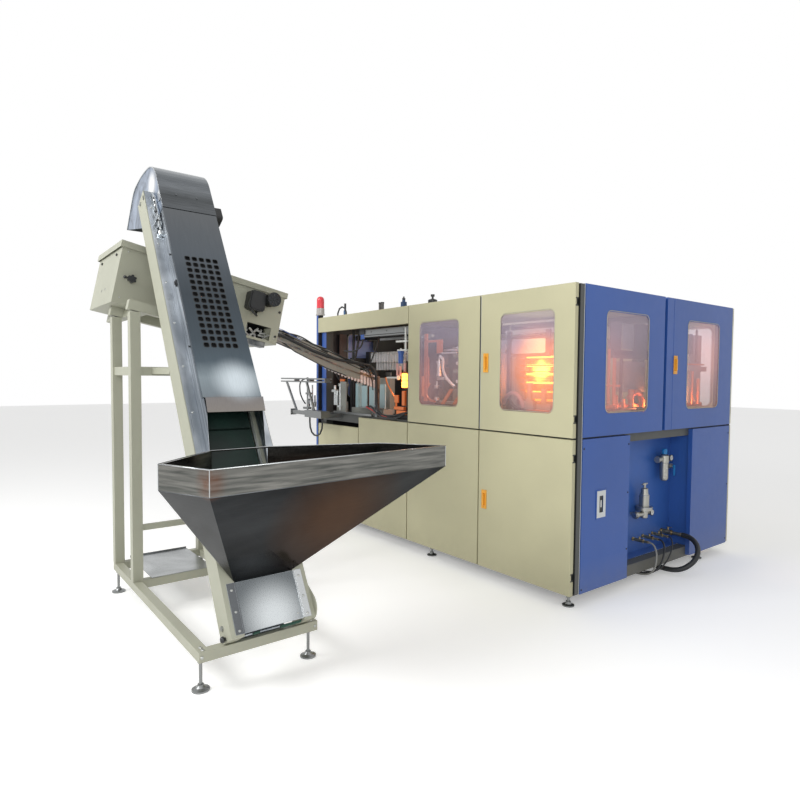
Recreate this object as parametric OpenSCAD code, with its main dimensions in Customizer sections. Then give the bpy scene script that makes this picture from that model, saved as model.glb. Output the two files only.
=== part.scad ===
// Stretch blow moulding machine with its preform feeder: an enclosed cabinet that heats and
// blows preforms, and beside it a hopper, a cleated elevator and an inclined sorter box whose
// chute runs down into the open bay at the cabinet's left.
// X runs along the beige front, Y into the machine, Z up. The origin is the middle of the sole
// of the levelling foot under the near corner. The feeder stands in front, at negative Y.

/* [Cabinet] */
// Length of the cabinet along the beige front
cab_l = 3235; // [3100:5:3600]
// Depth of the cabinet along the blue end
cab_w = 2210; // [2150:5:2500]
// Height of the cabinet from the floor
cab_h = 2100; // [2050:5:2300]
// Height of the seam between the upper and lower doors
seam_z = 1107; // [1060:1:1150]
// Height of the panels' lower edge
skirt_z = 90; // [80:1:110]
// Side of the square frame tubes
post = 80; // [60:1:84]
// Depth of the panels' folded edges
fold = 32; // [26:1:34]
// Sheet thickness of panels and doors
sheet = 3; // [2:0.5:4]
// Gap between neighbouring panels
seam = 12; // [10:1:14]
// Width of the open bay at the left
bay_w = 1532; // [1450:1:1560]
// Width of the right front door and of the door below it
right_w = 829; // [790:1:850]
// Height of the header above the bay
header_h = 150; // [110:1:190]

/* [Doors] */
// Height of the window openings
window_h = 680; // [500:5:700]
// Height of the window sill above the seam
window_sill = 155; // [120:1:170]
// Width of the front windows
front_window_w = 474; // [380:2:520]
// Width of the end windows
end_window_w = 520; // [400:2:560]
// Corner radius of the windows
window_r = 45; // [20:1:80]
// Radius of the hinge pins
hinge_pin_r = 4; // [3:0.5:5]
// Length of a door handle
handle_l = 138; // [100:1:170]

/* [Niche] */
// Width of the air connection niche in the blue end
niche_w = 890; // [850:5:950]
// Depth of the niche behind the frame face
niche_d = 166; // [150:1:200]
// Radius of the pressure regulator's body
regulator_r = 36; // [28:1:44]
// Outer diameter of the main air hose
main_hose_d = 39; // [30:1:42]
// Outer diameter of the small hoses
small_hose_d = 13; // [10:1:16]

/* [Machine inside] */
// Height of the machine's deck
deck_z = 1040; // [1000:5:1060]
// Thickness of the deck plate
deck_t = 25; // [15:1:40]
// Radius of the clamp's tie bars
tie_r = 25; // [18:1:32]
// Opening stroke of the moving platen
clamp_stroke = 110; // [80:5:120]
// Stroke of the stretch carriage
stretch_stroke = 120; // [80:5:120]
// Number of lamps in the oven bank
lamp_count = 8; // [4:1:9]

/* [Elevator] */
// Incline of the elevator from the floor
incline = 59.3; // [56:0.1:62]
// Distance between the two roller axes
elevator_l = 2680; // [2600:10:2720]
// Clear width between the side walls
belt_way = 315; // [280:1:340]
// Width of each side beam
stringer_w = 65; // [50:1:75]
// Depth of the side beams, from front to back
stringer_d = 145; // [130:1:160]
// Height of the casing above the side beams
casing_h = 115; // [100:1:140]
// Radius of the head and tail rollers
roller_r = 32; // [26:1:34]
// Thickness of the belt
belt_t = 3; // [2:0.5:4]
// Height of the belt's cleats
cleat_h = 25; // [15:1:28]
// Number of cleats on each run of the belt
cleats = 9; // [6:1:11]
// Side of the square vent holes in the front cover
vent_hole = 29; // [20:1:32]
// Spacing of the vent holes
vent_pitch = 42; // [38:1:43]
// Columns of vent holes
vent_cols = 5; // [4:1:5]
// Rows of vent holes
vent_rows = 15; // [8:1:15]

/* [Hopper] */
// Height of the hopper's rim from the floor
rim_z = 1105; // [1080:5:1105]
// Height of the upright band round the rim
rim_h = 118; // [90:1:150]
// Thickness of the stainless sheet
steel_t = 3; // [2:0.5:4]

/* [Feeder frame] */
// Length of the base frame
base_l = 1710; // [1650:5:1750]
// Width of the base frame
base_w = 625; // [600:5:660]
// Side of the base tubes
base_tube = 50; // [40:1:55]
// Side of the columns
column = 60; // [50:1:64]
// Height of the base tubes' lower face
base_z = 155; // [140:1:170]

/* [Sorter] */
// Length of the sorter box
sorter_l = 1172; // [1100:1:1200]
// Width of the sorter box
sorter_w = 680; // [640:5:700]
// Height of the sorter box
sorter_h = 408; // [380:1:420]
// Slope of the sorter box
sorter_tilt = 11.6; // [10:0.1:13]
// Radius of the two sorting rollers
sort_roller_r = 38; // [30:1:42]
// Gap between the sorting rollers
sort_gap = 27; // [22:1:34]
// Slope of the preform chute
chute_tilt = 19.5; // [18.5:0.1:20]
// Slope of the chute's last part
chute_end_tilt = 17; // [14:0.5:18]

/* [Preforms] */
// Radius of a preform's body
preform_r = 12; // [9:0.5:12.5]
// Length of a preform below its neck ring
preform_l = 100; // [70:1:110]
// Number of preforms waiting on the chute
preform_count = 16; // [6:1:18]

/* [Hidden] */
// Which node is drawn

// Colours
beige = "#B5B095";
blue = "#4765A8";
dark_grey = "#4A4C4A";
feeder_beige = "#A9A68C";
steel = "#A6A9AA";
satin_steel = "#8B8883";
black = "#232425";
amber = "#D99A2B";
glass_tint = [0.72, 0.62, 0.66, 0.45];

// Clearances shared by all parts
weld = 0.3;      // gap between welded tubes, and between seated pieces
run_fit = 0.05;  // radial running fit of a pin in its bore
through = 2;     // how far a cut runs past a face

// The near cabinet corner, seen from the middle of the near foot's sole
frame_in = 34;                       // from the panels' face to the frame's face
foot_in = frame_in + post / 2;       // from the corner to the near foot
frame_z0 = skirt_z - 15;
frame_z1 = cab_h - 4;
fx0 = -cab_l + frame_in;
fx1 = -frame_in;
fy0 = frame_in;
fy1 = cab_w - frame_in;
// Front panel lines, from the near corner to the left
door_edge = 11;
main_w = cab_l - bay_w - door_edge;          // both upper doors together
left_w = main_w - seam - right_w;
right_x1 = -door_edge;
right_x0 = right_x1 - right_w;
left_x1 = right_x0 - seam;
left_x0 = left_x1 - left_w;
bay_x1 = left_x0 - 7;                        // right edge of header and bay panels
mid_post_x = right_x0 - seam / 2;
bay_post_x = left_x0 - 4;
bay_split_x = bay_x1 - 751;
upper_z0 = seam_z + 6;
lower_z1 = seam_z - 6;
// Blue end panel lines
end_y0 = 93;
end_y1 = cab_w - 47;
end_mid_y = (end_y0 + end_y1) / 2 - 44;
end_left_y1 = end_mid_y - 19;
end_right_y0 = end_mid_y + 19;
strip_w = 96;                                // shallow strip beside the right end door
niche_y0 = end_y0 + 547;
niche_y1 = niche_y0 + niche_w;
niche_x = fx1 - niche_d;
niche_z0 = frame_z0 + post;
niche_z1 = seam_z - 57;
// Hinge axes lie this far from a door's edge and from its face
hinge_in = 8;
hinge_deep = 10;
hinge_barrel = 36;
hinge_arm = 8;
hinge_from_end = 120;
lower_h = lower_z1 - skirt_z;
upper_h = cab_h - upper_z0;

// Elevator: local axes are n (out of the front), y and u (up the incline)
tail_x = -442;
tail_z = 284;
way_y0 = -2050;                              // inner face of the left side wall
way_y1 = way_y0 + belt_way;
stringer_n1 = 90;                            // front face of the side beams
stringer_n0 = stringer_n1 - stringer_d;
cover_n = stringer_n1 + casing_h;
belt_n = roller_r + belt_t;
cover_u0 = 1135;
lip_u = 1054;
seam_u = elevator_l - 160;
cover_u1 = seam_u - 30;
low_cover_u1 = 185;
low_cover_u0 = -58;
foot_u = -70;                                // lower end of the side beams
bearing_t = 7;
axle_r = 12;

// Base frame of the feeder
base_x1 = -420;
base_x0 = base_x1 - base_l;
base_y0 = -2235;
base_y1 = base_y0 + base_w;
col_x_a = base_x0 + column / 2 - 5;
col_x_b = -1634;
base_top = base_z + base_tube;

// Sorter box: local origin is its lower near corner on the front side
sorter_x = -1900;
sorter_y = -2277;
sorter_z = 1963;
wall = 3;
roller_mid = -330;                           // middle between the sorting rollers
roller_z = 112;
roller_axle_r = 12;
sort_pitch = 2 * sort_roller_r + sort_gap;
kicker_y = sorter_l - 242;
kicker_z = 270;
kicker_r = 94;

// Chute: from the gap between the rollers down into the bay
chute_x = sorter_x + roller_mid;
bend_y = -329;
bend_z = 1590;
chute_end_y = 36;
guard_h = 42;
rail_t = 6;
rail_gap = 27;
neck_r = 16.5;
// Height of the rails' upper edge, and where the sorter's end wall stands at height z
function rail_line(y) = y < bend_y ? bend_z + (bend_y - y) * tan(chute_tilt)
    : bend_z - (y - bend_y) * tan(chute_end_tilt);
function end_wall_y(z) = sorter_y + sorter_l * cos(sorter_tilt) + weld
    + (z - sorter_z + sorter_l * sin(sorter_tilt)) * tan(sorter_tilt);
chute_y0 = end_wall_y(1870);
chute_z0 = rail_line(chute_y0);

// Routes of the four hoses, corner frame, chosen by hand
main_route = [[-22, 1450, 262], [-8, 1450, 262], [47, 1443, 255], [95, 1423, 236],
    [131, 1393, 206], [150, 1356, 169], [150, 1317, 129], [131, 1280, 93], [95, 1250, 62],
    [47, 1230, 43], [-8, 1223, 36], [-90, 1223, 36], [-180, 1223, 36], [-300, 1223, 36],
    [-420, 1223, 36]];
grey_route = [[-62, 1030, 262], [-50, 1030, 262], [-24, 1025, 254], [2, 1012, 232],
    [18, 1000, 204], [26, 988, 168], [28, 978, 132], [22, 970, 98], [4, 964, 66],
    [-26, 960, 44], [-66, 958, 34], [-120, 956, 30], [-190, 954, 30], [-300, 950, 30],
    [-420, 950, 30]];
black_route = [[-62, 1170, 262], [-50, 1170, 262], [-24, 1161, 253], [0, 1141, 232],
    [16, 1116, 204], [26, 1088, 170], [28, 1062, 134], [20, 1040, 98], [0, 1024, 66],
    [-30, 1014, 44], [-70, 1008, 33], [-130, 1004, 28], [-200, 1002, 28],
    [-310, 1000, 28], [-420, 1000, 28]];
thin_route = [[-62, 1310, 262], [-50, 1310, 262], [-27, 1297, 250], [-4, 1270, 226],
    [10, 1238, 196], [18, 1200, 162], [20, 1160, 128], [12, 1124, 94], [-8, 1094, 62],
    [-40, 1074, 40], [-84, 1062, 30], [-140, 1054, 27], [-210, 1051, 27],
    [-310, 1050, 27], [-420, 1050, 27]];
socket_x = -420;
socket_l = 40;
// Cables of the bay, drawn between the deck's top and the roof beams
deck_top = deck_z + deck_t;
beam_top = seam_z + 13;
function hung(p) = [for (q = p) [q[0], q[1],
    deck_top + 0.4 + (q[2] - 1065.4) * (frame_z1 - deck_top - 0.4) / 1030.6]];
function from_beam(p) = [for (q = p) [q[0], q[1], q[2] + beam_top - 1120]];
loop_route = [[-3070, -190, 1079.4], [-3071, -190, 1030], [-3062, -190, 975], [-3030, -190, 925],
    [-2975, -190, 900], [-2915, -190, 900], [-2862, -190, 925], [-2828, -190, 975],
    [-2818, -190, 1030], [-2818, -190, 1079.4]];
chute_hose_route = [[-2155, -1103.2, 1850], [-2155, -1085.6, 1846.4], [-2166, -1040, 1843],
    [-2182, -980, 1834], [-2192, -900, 1812], [-2194, -790, 1768], [-2194, -650, 1712],
    [-2194, -510, 1668], [-2194, -390, 1640], [-2194, -290, 1624], [-2194, -190, 1612],
    [-2194, -110, 1604], [-2192, -52, 1590], [-2188, -16, 1560], [-2184, 2, 1514],
    [-2181, 8, 1450], [-2180, 9, 1370], [-2179, 9, 1290], [-2172, 9, 1226], [-2148, 8, 1176],
    [-2100, 6, 1147], [-2030, 6, 1138], [-1955, 8, 1141], [-1890, 16, 1151], [-1835, 34, 1166],
    [-1795, 50, 1178], [-1765, 56, 1182], [-1747.4, 56, 1182]];
drop_a_route = [[-3060, 330, 2096], [-3061, 329, 1960], [-3058, 326, 1840], [-3054, 322, 1740],
    [-3060, 318, 1640], [-3072, 316, 1540], [-3082, 318, 1400], [-3084, 320, 1240], [-3084, 320, 1065.4]];
drop_b_route = [[-2960, 330, 2096], [-2961, 329, 1960], [-2966, 324, 1850], [-2982, 316, 1760],
    [-3008, 312, 1670], [-3030, 314, 1560], [-3038, 318, 1400], [-3040, 320, 1240], [-3040, 320, 1065.4]];
swag_route = [[-2470, 260, 2096], [-2472, 259, 2000], [-2482, 254, 1900], [-2510, 244, 1790],
    [-2560, 230, 1690], [-2620, 214, 1570], [-2672, 204, 1430], [-2698, 200, 1260], [-2698, 200, 1065.4]];
roof_arc_route = [[-3090, 150, 2099.4], [-3090, 150, 2150], [-3062, 152, 2196],
    [-3015, 154, 2212], [-2968, 156, 2196], [-2940, 158, 2150], [-2940, 158, 2099.4]];

// Placement

module at_corner() translate([foot_in, -foot_in, 0]) children();

module box(x0, x1, y0, y1, z0, z1)
    translate([x0, y0, z0]) cube([x1 - x0, y1 - y0, z1 - z0]);

// Front panels are drawn flat: x along the panel, y into the machine, z up
module on_front(x) translate([x, 0, 0]) children();
module on_end(y) translate([0, y, 0]) rotate([0, 0, 90]) children();
module on_rear(x) translate([x, cab_w, 0]) rotate([0, 0, 180]) children();
module on_left(y) translate([-cab_l, y, 0]) rotate([0, 0, -90]) children();

module in_elevator() translate([tail_x, 0, tail_z]) rotate([0, incline - 90, 0]) children();
module in_sorter() translate([sorter_x, sorter_y, sorter_z]) rotate([-sorter_tilt, 0, 0]) children();

module rod_y(r, l) rotate([-90, 0, 0]) cylinder(r=r, h=l, $fn=48);
module rod_x(r, l) rotate([0, 90, 0]) cylinder(r=r, h=l, $fn=48);

// A window's outline with round corners, standing in the x-z plane
module window_cut(w, h, r, y0, y1)
    translate([0, y1, 0]) rotate([90, 0, 0]) linear_extrude(y1 - y0) {
        translate([r, 0]) square([w - 2 * r, h]);
        translate([0, r]) square([w, h - 2 * r]);
        for (x = [r, w - r], z = [r, h - r]) translate([x, z]) circle(r=r, $fn=48);
    }

// Folded sheet panel: a shallow tray, open at the back
module tray(w, h, depth=fold) {
    difference() {
        cube([w, depth, h]);
        translate([sheet, sheet, sheet]) cube([w - 2 * sheet, depth, h - 2 * sheet]);
    }
}

// The part of a hinge that belongs to the door: a barrel with its web, at the edge x = w
function hinge_zs(h) = [hinge_from_end, h - hinge_from_end];

module hinged_tray(w, h, right=true) {
    ax = right ? w - hinge_in : hinge_in;
    arm_z = hinge_barrel / 2 + hinge_arm + 1.5;
    difference() {
        union() {
            difference() {
                tray(w, h);
                for (z = hinge_zs(h))
                    translate([right ? w - 36 : -through, sheet, z - arm_z])
                        cube([36 + through, fold, 2 * arm_z]);
            }
            for (z = hinge_zs(h)) translate([ax, hinge_deep, z - hinge_barrel / 2]) {
                cylinder(r=hinge_pin_r + 3.5, h=hinge_barrel, $fn=48);
                translate([right ? -13 - weld : -4, -hinge_deep + sheet / 2, 0])
                    cube([17 + weld, 7, hinge_barrel]);
            }
        }
        for (z = hinge_zs(h)) translate([ax, hinge_deep, z - hinge_barrel])
            cylinder(r=hinge_pin_r + run_fit, h=2 * hinge_barrel, $fn=48);
    }
}

// The part of a hinge that belongs to the frame: two arms and the pin
module hinge_mount(w, h, right=true) {
    ax = right ? w - hinge_in : hinge_in;
    arm_w = 9;
    for (z = hinge_zs(h)) translate([ax, hinge_deep, z]) {
        cylinder(r=hinge_pin_r, h=hinge_barrel + 2 * hinge_arm, center=true, $fn=48);
        for (s = [-1, 1]) translate([0, 0, s * (hinge_barrel / 2 + hinge_arm / 2 + weld)]) {
            cylinder(r=arm_w / 2, h=hinge_arm - weld, center=true, $fn=48);
            translate([right ? -24 : -arm_w / 2, 0, -(hinge_arm - weld) / 2])
                cube([24 + arm_w / 2, frame_in - hinge_deep + 1, hinge_arm - weld]);
        }
    }
}

// A pane set into the back of a window opening, with a fit gap round it
module pane(w, h)
    translate([0, sheet + weld, 0])
        window_cut(w + 40, h + 40, window_r + 20, 0, 5);

// Recessed pull handle plate with its grip and two screws
module pull_handle(l) {
    w = 46;
    difference() {
        translate([-w / 2, -7, 0]) cube([w, 7 - weld, l]);
        translate([-w / 2 + 9, -7 - through, 22]) cube([w - 18, 5 + through, l - 44]);
    }
    translate([-5, -19, 26]) cube([10, 18, l - 52]);
    for (z = [11, l - 11]) translate([0, -6.9, z]) rotate([90, 0, 0]) cylinder(r=5, h=3, $fn=24);
}

// Cabinet frame

module cabinet_frame() color(dark_grey) at_corner() {
    p = post;
    // Corner posts
    for (x = [fx0, fx1 - p], y = [fy0, fy1 - p]) box(x, x + p, y, y + p, frame_z0, frame_z1);
    // Posts between the front and rear doors, and the short post of the bay
    for (y = [fy0, fy1 - p]) {
        for (x = [mid_post_x, bay_post_x])
            box(x - p / 2, x + p / 2, y, y + p, frame_z0 + p + weld, frame_z1 - p - weld);
        box(bay_split_x - p / 2, bay_split_x + p / 2, y, y + p,
            frame_z0 + p + weld, seam_z - 67 - weld);
    }
    // Long beams at the bottom and the top
    for (y = [fy0, fy1 - p], z = [frame_z0, frame_z1 - p])
        box(fx0 + p + weld, fx1 - p - weld, y, y + p, z, z + p);
    // Beams at the seam
    for (y = [fy0, fy1 - p]) {
        seam_bar(fx0 + p, bay_post_x - p / 2, y);
        seam_bar(bay_post_x + p / 2, mid_post_x - p / 2, y);
        seam_bar(mid_post_x + p / 2, fx1 - p, y);
    }
    // Cross beams of both ends
    for (x = [fx0, fx1 - p]) {
        for (z = [frame_z0, frame_z1 - p])
            box(x, x + p, fy0 + p + weld, fy1 - p - weld, z, z + p);
        box(x, x + p, fy0 + p + weld, fy1 - p - weld, seam_z - 57, seam_z + 13);
        box(x, x + p, end_mid_y - p / 2, end_mid_y + p / 2,
            seam_z + 13 + weld, frame_z1 - p - weld);
    }
    // Cross beams under the machine bed
    for (x = [mid_post_x, bay_post_x, socket_x - 60])
        box(x - p / 2, x + p / 2, fy0 + p + weld, fy1 - p - weld, frame_z0, frame_z0 + p);
    // Hinge mounts of every door
    on_front(left_x0) translate([0, 0, upper_z0]) hinge_mount(left_w, upper_h, false);
    on_front(right_x0) translate([0, 0, upper_z0]) hinge_mount(right_w, upper_h, true);
    on_front(right_x0) translate([0, 0, skirt_z]) hinge_mount(right_w, lower_h, true);
    on_end(end_y0) translate([0, 0, upper_z0]) hinge_mount(end_left_y1 - end_y0, upper_h, false);
    on_end(end_right_y0) translate([0, 0, upper_z0])
        hinge_mount(end_y1 - end_right_y0, upper_h, true);
    on_rear(rear_main_x) translate([0, 0, upper_z0]) hinge_mount(rear_main_w, upper_h, false);
    on_rear(rear_bay_x) translate([0, 0, upper_z0]) hinge_mount(rear_bay_w, upper_h, true);
}

module seam_bar(x0, x1, y)
    box(x0 + weld, x1 - weld, y, y + post, seam_z - 67, seam_z + 13);

// The rear doors are drawn from the near corner leftwards, seen from behind
rear_main_x = -door_edge;
rear_main_w = right_w;
rear_bay_x = bay_x1 - seam;
rear_bay_w = cab_l - door_edge + rear_bay_x;

// Levelling foot: a pad with a waist, a threaded rod and a lock nut
module foot(h, pad_r=40, rod_r=9) {
    rotate_extrude($fn=64)
        polygon([[0, 0], [pad_r, 0], [pad_r, 8], [pad_r * 0.55, 15], [rod_r + 7, 24],
            [rod_r + 7, 30], [rod_r, 30], [rod_r, h - weld], [0, h - weld]]);
    translate([0, 0, h - 22]) difference() {
        cylinder(r=rod_r + 7, h=12, $fn=6);
        translate([0, 0, -1]) cylinder(r=rod_r - 0.5, h=14, $fn=48);
    }
}

module levelling_feet() color("#2E2F31") at_corner() {
    mid_x = (fx0 + fx1) / 2 + 163;
    far_y = fy1 - post / 2;
    rear_y = far_y - 331;
    for (x = [-foot_in, -cab_l + foot_in]) {
        translate([x, foot_in, 0]) foot(frame_z0);
        translate([x, rear_y, 0]) foot(frame_z0);
    }
    translate([mid_x, foot_in, 0]) foot(frame_z0);
    translate([mid_x, far_y, 0]) foot(frame_z0);
    for (x = [base_x1 - 55, base_x0 + base_tube / 2], y = [base_y0, base_y1 - base_tube])
        translate([x, y + base_tube / 2, 0]) foot(base_z, 42, 8);
}

module roof_panels() color(beige) at_corner() {
    edges = [fx0, bay_post_x, mid_post_x, fx1];
    for (i = [0:2])
        box(edges[i] + 3, edges[i + 1] - 3, fy0 + 3, fy1 - 3, frame_z1 + weld, cab_h - 1);
}

// Fixed beige panels of the front: the header and three lower panels
module front_panels() color(beige) at_corner() {
    on_front(-cab_l) translate([0, 0, cab_h - header_h]) tray(cab_l + bay_x1, header_h, frame_in - weld);
    on_front(-cab_l + 10) translate([0, 0, skirt_z])
        tray(cab_l + bay_split_x - seam - 10, lower_h - 101, frame_in - weld);
    on_front(bay_split_x) translate([0, 0, skirt_z])
        tray(bay_x1 - bay_split_x - 5, lower_h, frame_in - weld);
    on_front(left_x0) translate([0, 0, skirt_z]) tray(left_w, lower_h, frame_in - weld);
}

front_win_left = 151;
front_win_right = 197;

module door_with_window(w, h, right, win_x, win_w) difference() {
    hinged_tray(w, h, right);
    translate([win_x, 0, window_sill - 6]) window_cut(win_w, window_h, window_r, -through, fold + through);
}

module front_door_left() color(beige) at_corner()
    on_front(left_x0) translate([0, 0, upper_z0])
        door_with_window(left_w, upper_h, false, front_win_left, front_window_w);

module front_window_left() color(glass_tint) at_corner()
    on_front(left_x0) translate([front_win_left - 20, 0, upper_z0 + window_sill - 26])
        pane(front_window_w, window_h);

module front_door_right() color(beige) at_corner()
    on_front(right_x0) translate([0, 0, upper_z0])
        door_with_window(right_w, upper_h, true, front_win_right, front_window_w);

module front_window_right() color(glass_tint) at_corner()
    on_front(right_x0) translate([front_win_right - 20, 0, upper_z0 + window_sill - 26])
        pane(front_window_w, window_h);

handle_in = 58;

module front_handle() color(amber) at_corner()
    on_front(right_x0 + handle_in) translate([0, 0, upper_z0 + 420]) pull_handle(handle_l);

module lower_door() color(beige) at_corner()
    on_front(right_x0) translate([0, 0, skirt_z]) hinged_tray(right_w, lower_h, true);

module lower_handle() color(amber) at_corner()
    on_front(right_x0 + handle_in) translate([0, 0, skirt_z + 438]) pull_handle(handle_l);

end_win_left = 236;
end_win_right = 307;

module end_door_left() color(blue) at_corner()
    on_end(end_y0) translate([0, 0, upper_z0])
        door_with_window(end_left_y1 - end_y0, upper_h, false, end_win_left, end_window_w);

module end_window_left() color(glass_tint) at_corner()
    on_end(end_y0) translate([end_win_left - 20, 0, upper_z0 + window_sill - 26])
        pane(end_window_w, window_h);

// The right end door has a shallow strip down its free edge
module end_door_right() color(blue) at_corner()
    on_end(end_right_y0) translate([0, 0, upper_z0]) difference() {
        door_with_window(end_y1 - end_right_y0, upper_h, true, end_win_right, end_window_w);
        translate([-through, -through, -through])
            cube([strip_w + through, 1.2 + through, upper_h + 2 * through]);
    }

module end_window_right() color(glass_tint) at_corner()
    on_end(end_right_y0) translate([end_win_right - 20, 0, upper_z0 + window_sill - 26])
        pane(end_window_w, window_h);

module end_handle() color(amber) at_corner()
    on_end(end_right_y0 + strip_w + 28) translate([0, 0, upper_z0 + 420]) pull_handle(handle_l);

// Fixed blue panels on both sides of the niche, the left one with a lock plate recess
module end_panels() color(blue) at_corner() {
    on_end(end_y0) translate([0, 0, skirt_z]) difference() {
        tray(niche_y0 - end_y0, lower_h, frame_in - weld);
        translate([162, -through, 478]) cube([100, sheet + 2 * through, 180]);
    }
    on_end(niche_y1) translate([0, 0, skirt_z]) tray(end_y1 - niche_y1, lower_h, frame_in - weld);
    // Lock plate with its slot
    on_end(end_y0) translate([154, -3 - weld, skirt_z + 470]) difference() {
        cube([116, 3, 196]);
        translate([36, -through, 40]) cube([44, 3 + 2 * through, 116]);
    }
}

// Folded blue box behind the opening, open to the outside
module niche_box() color(blue) at_corner() {
    y0 = niche_y0 + 6;
    y1 = niche_y1 + 36;
    difference() {
        box(niche_x, fx1 - post - weld, y0, y1, niche_z0 + weld, niche_z1 - weld);
        box(niche_x + sheet, fx1, y0 + sheet, y1 - sheet, niche_z0 + sheet, niche_z1 - sheet);
    }
    // Cheeks that reach the panels beside the posts' faces
    for (y = [y0, y1 - sheet])
        box(fx1 - post, fx1 - weld, y, y + sheet, niche_z0 + weld, niche_z1 - weld);
}

rear_win_x = 180;
rear_bay_win_x = 560;

module rear_door_main() color(beige) at_corner()
    on_rear(rear_main_x) translate([0, 0, upper_z0])
        door_with_window(rear_main_w, upper_h, false, rear_win_x, front_window_w);

module rear_window_main() color(glass_tint) at_corner()
    on_rear(rear_main_x) translate([rear_win_x - 20, 0, upper_z0 + window_sill - 26])
        pane(front_window_w, window_h);

module rear_door_bay() color(beige) at_corner()
    on_rear(rear_bay_x) translate([0, 0, upper_z0])
        door_with_window(rear_bay_w, upper_h, true, rear_bay_win_x, end_window_w);

module rear_window_bay() color(glass_tint) at_corner()
    on_rear(rear_bay_x) translate([rear_bay_win_x - 20, 0, upper_z0 + window_sill - 26])
        pane(end_window_w, window_h);

// Fixed beige panels of the back
module rear_panels() color(beige) at_corner() {
    d = frame_in - weld;
    x_mid = rear_main_x - rear_main_w - seam;
    on_rear(x_mid) translate([0, 0, upper_z0]) tray(x_mid - rear_bay_x - seam, upper_h, d);
    on_rear(rear_main_x) translate([0, 0, skirt_z]) tray(rear_main_w, lower_h, d);
    on_rear(x_mid) translate([0, 0, skirt_z]) tray(x_mid - rear_bay_x - seam, lower_h, d);
    on_rear(rear_bay_x) translate([0, 0, skirt_z]) tray(rear_bay_w, lower_h, d);
}

// Fixed blue panels of the left end
module left_end_panels() color(blue) at_corner() {
    d = frame_in - weld;
    w = (cab_w - 94 - seam) / 2;
    for (i = [0, 1]) on_left(47 + w + i * (w + seam)) {
        translate([0, 0, upper_z0]) tray(w, upper_h - 12, d);
        translate([0, 0, skirt_z]) tray(w, lower_h, d);
    }
    // Corner strip beside the header, which carries the beacon, and the facing of the post
    box(-cab_l - 36, -cab_l - weld, 0, 60, skirt_z, cab_h + 30);
    box(fx0, fx0 + post, fy0 - 3 - weld, fy0 - weld, beam_top, cab_h - header_h - weld);
}

// Niche contents. Their parts stand on the back wall and look along X

air_x = niche_x + sheet + weld;
filter_y = 1360;
filter_z = 690;
reg_y = 1080;
reg_z = 430;
body_x = niche_x + 64;

module port_y(y, z, r, l) translate([body_x, y, z]) rod_y(r, l);

module air_regulators() color("#B8B8B0") at_corner() {
    // Filter regulator: bowl with windows, head, side ports, gauge and wall bracket
    translate([body_x, filter_y, filter_z]) difference() {
        rotate_extrude($fn=64) polygon([[0, 0], [20, 0], [28, 8], [32, 20], [32, 140],
            [36, 146], [36, 200], [22, 208], [10, 210], [0, 210]]);
        for (z = [34, 92]) translate([18, -30, z]) rotate([0, 0, 24]) cube([24, 12, 34]);
        translate([0, 0, 200]) cylinder(r=8 + run_fit, h=20, $fn=48);
    }
    port_y(filter_y - 96, filter_z + 172, 17, 62);
    port_y(filter_y - 112, filter_z + 172, 24, 18);
    port_y(filter_y + 34, filter_z + 172, 12, 22);
    translate([body_x, filter_y + 70, filter_z + 172]) rotate([0, 90, 0]) {
        translate([0, 0, -14]) cylinder(r=24, h=34, $fn=64);
    }
    box(air_x, body_x - 34, filter_y - 18, filter_y + 18, filter_z + 158, filter_z + 188);
    // Ball valve body beside the filter
    port_y(filter_y + 50, filter_z + 110, 20, 56);
    box(air_x, body_x - 18, filter_y + 66, filter_y + 90, filter_z + 100, filter_z + 120);
    translate([body_x + 18, filter_y + 78, filter_z + 110]) rod_x(9, 14);
    // Pressure regulator: bonnet, body with flange, ports and gauge
    translate([body_x, reg_y, reg_z]) difference() {
        rotate_extrude($fn=64) polygon([[0, 0], [24, 0], [28, 6], [28, 54], [60, 62],
            [60, 84], [regulator_r, 92], [regulator_r, 170], [28, 190], [26, 226],
            [14, 232], [0, 232]]);
        translate([0, 0, 200]) cylinder(r=9 + run_fit, h=40, $fn=48);
    }
    port_y(reg_y - 108, reg_z + 34, 19, 84);
    port_y(reg_y - 124, reg_z + 34, 26, 18);
    port_y(reg_y + 24, reg_z + 34, 12, 34);
    translate([body_x, reg_y + 82, reg_z + 34]) rotate([0, 90, 0])
        translate([0, 0, -14]) cylinder(r=24, h=34, $fn=64);
    box(air_x, body_x - 58, reg_y - 18, reg_y + 18, reg_z + 60, reg_z + 86);
    box(air_x, body_x - 14, reg_y - 92, reg_y - 66, reg_z + 24, reg_z + 44);
}

module regulator_knob() color("#1E78B8") at_corner()
    translate([body_x, filter_y, filter_z + 210 + weld]) {
        rotate_extrude($fn=64) polygon([[0, 0], [19, 0], [21, 4], [21, 34], [17, 42], [0, 44]]);
        translate([0, 0, -9]) cylinder(r=8, h=10, $fn=48);
    }

module tee_handle() color("#B8B8B0") at_corner()
    translate([body_x, reg_y, reg_z + 203]) {
        cylinder(r=9, h=52, $fn=48);
        translate([0, -34, 58]) rod_y(7, 68);
        translate([0, 0, 50]) cylinder(r=12, h=16, $fn=48);
    }

module valve_lever() color("#3A6FB0") at_corner()
    translate([body_x + 32 + weld, filter_y + 78, filter_z + 110]) {
        rod_x(11, 8);
        translate([8 - weld, -9, -72]) cube([5, 18, 82]);
    }

// Four valves with unions that stand out of the back wall, and the sockets under the frame
manifold_z = 262;
manifold_ys = [1030, 1170, 1310, 1450];

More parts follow.
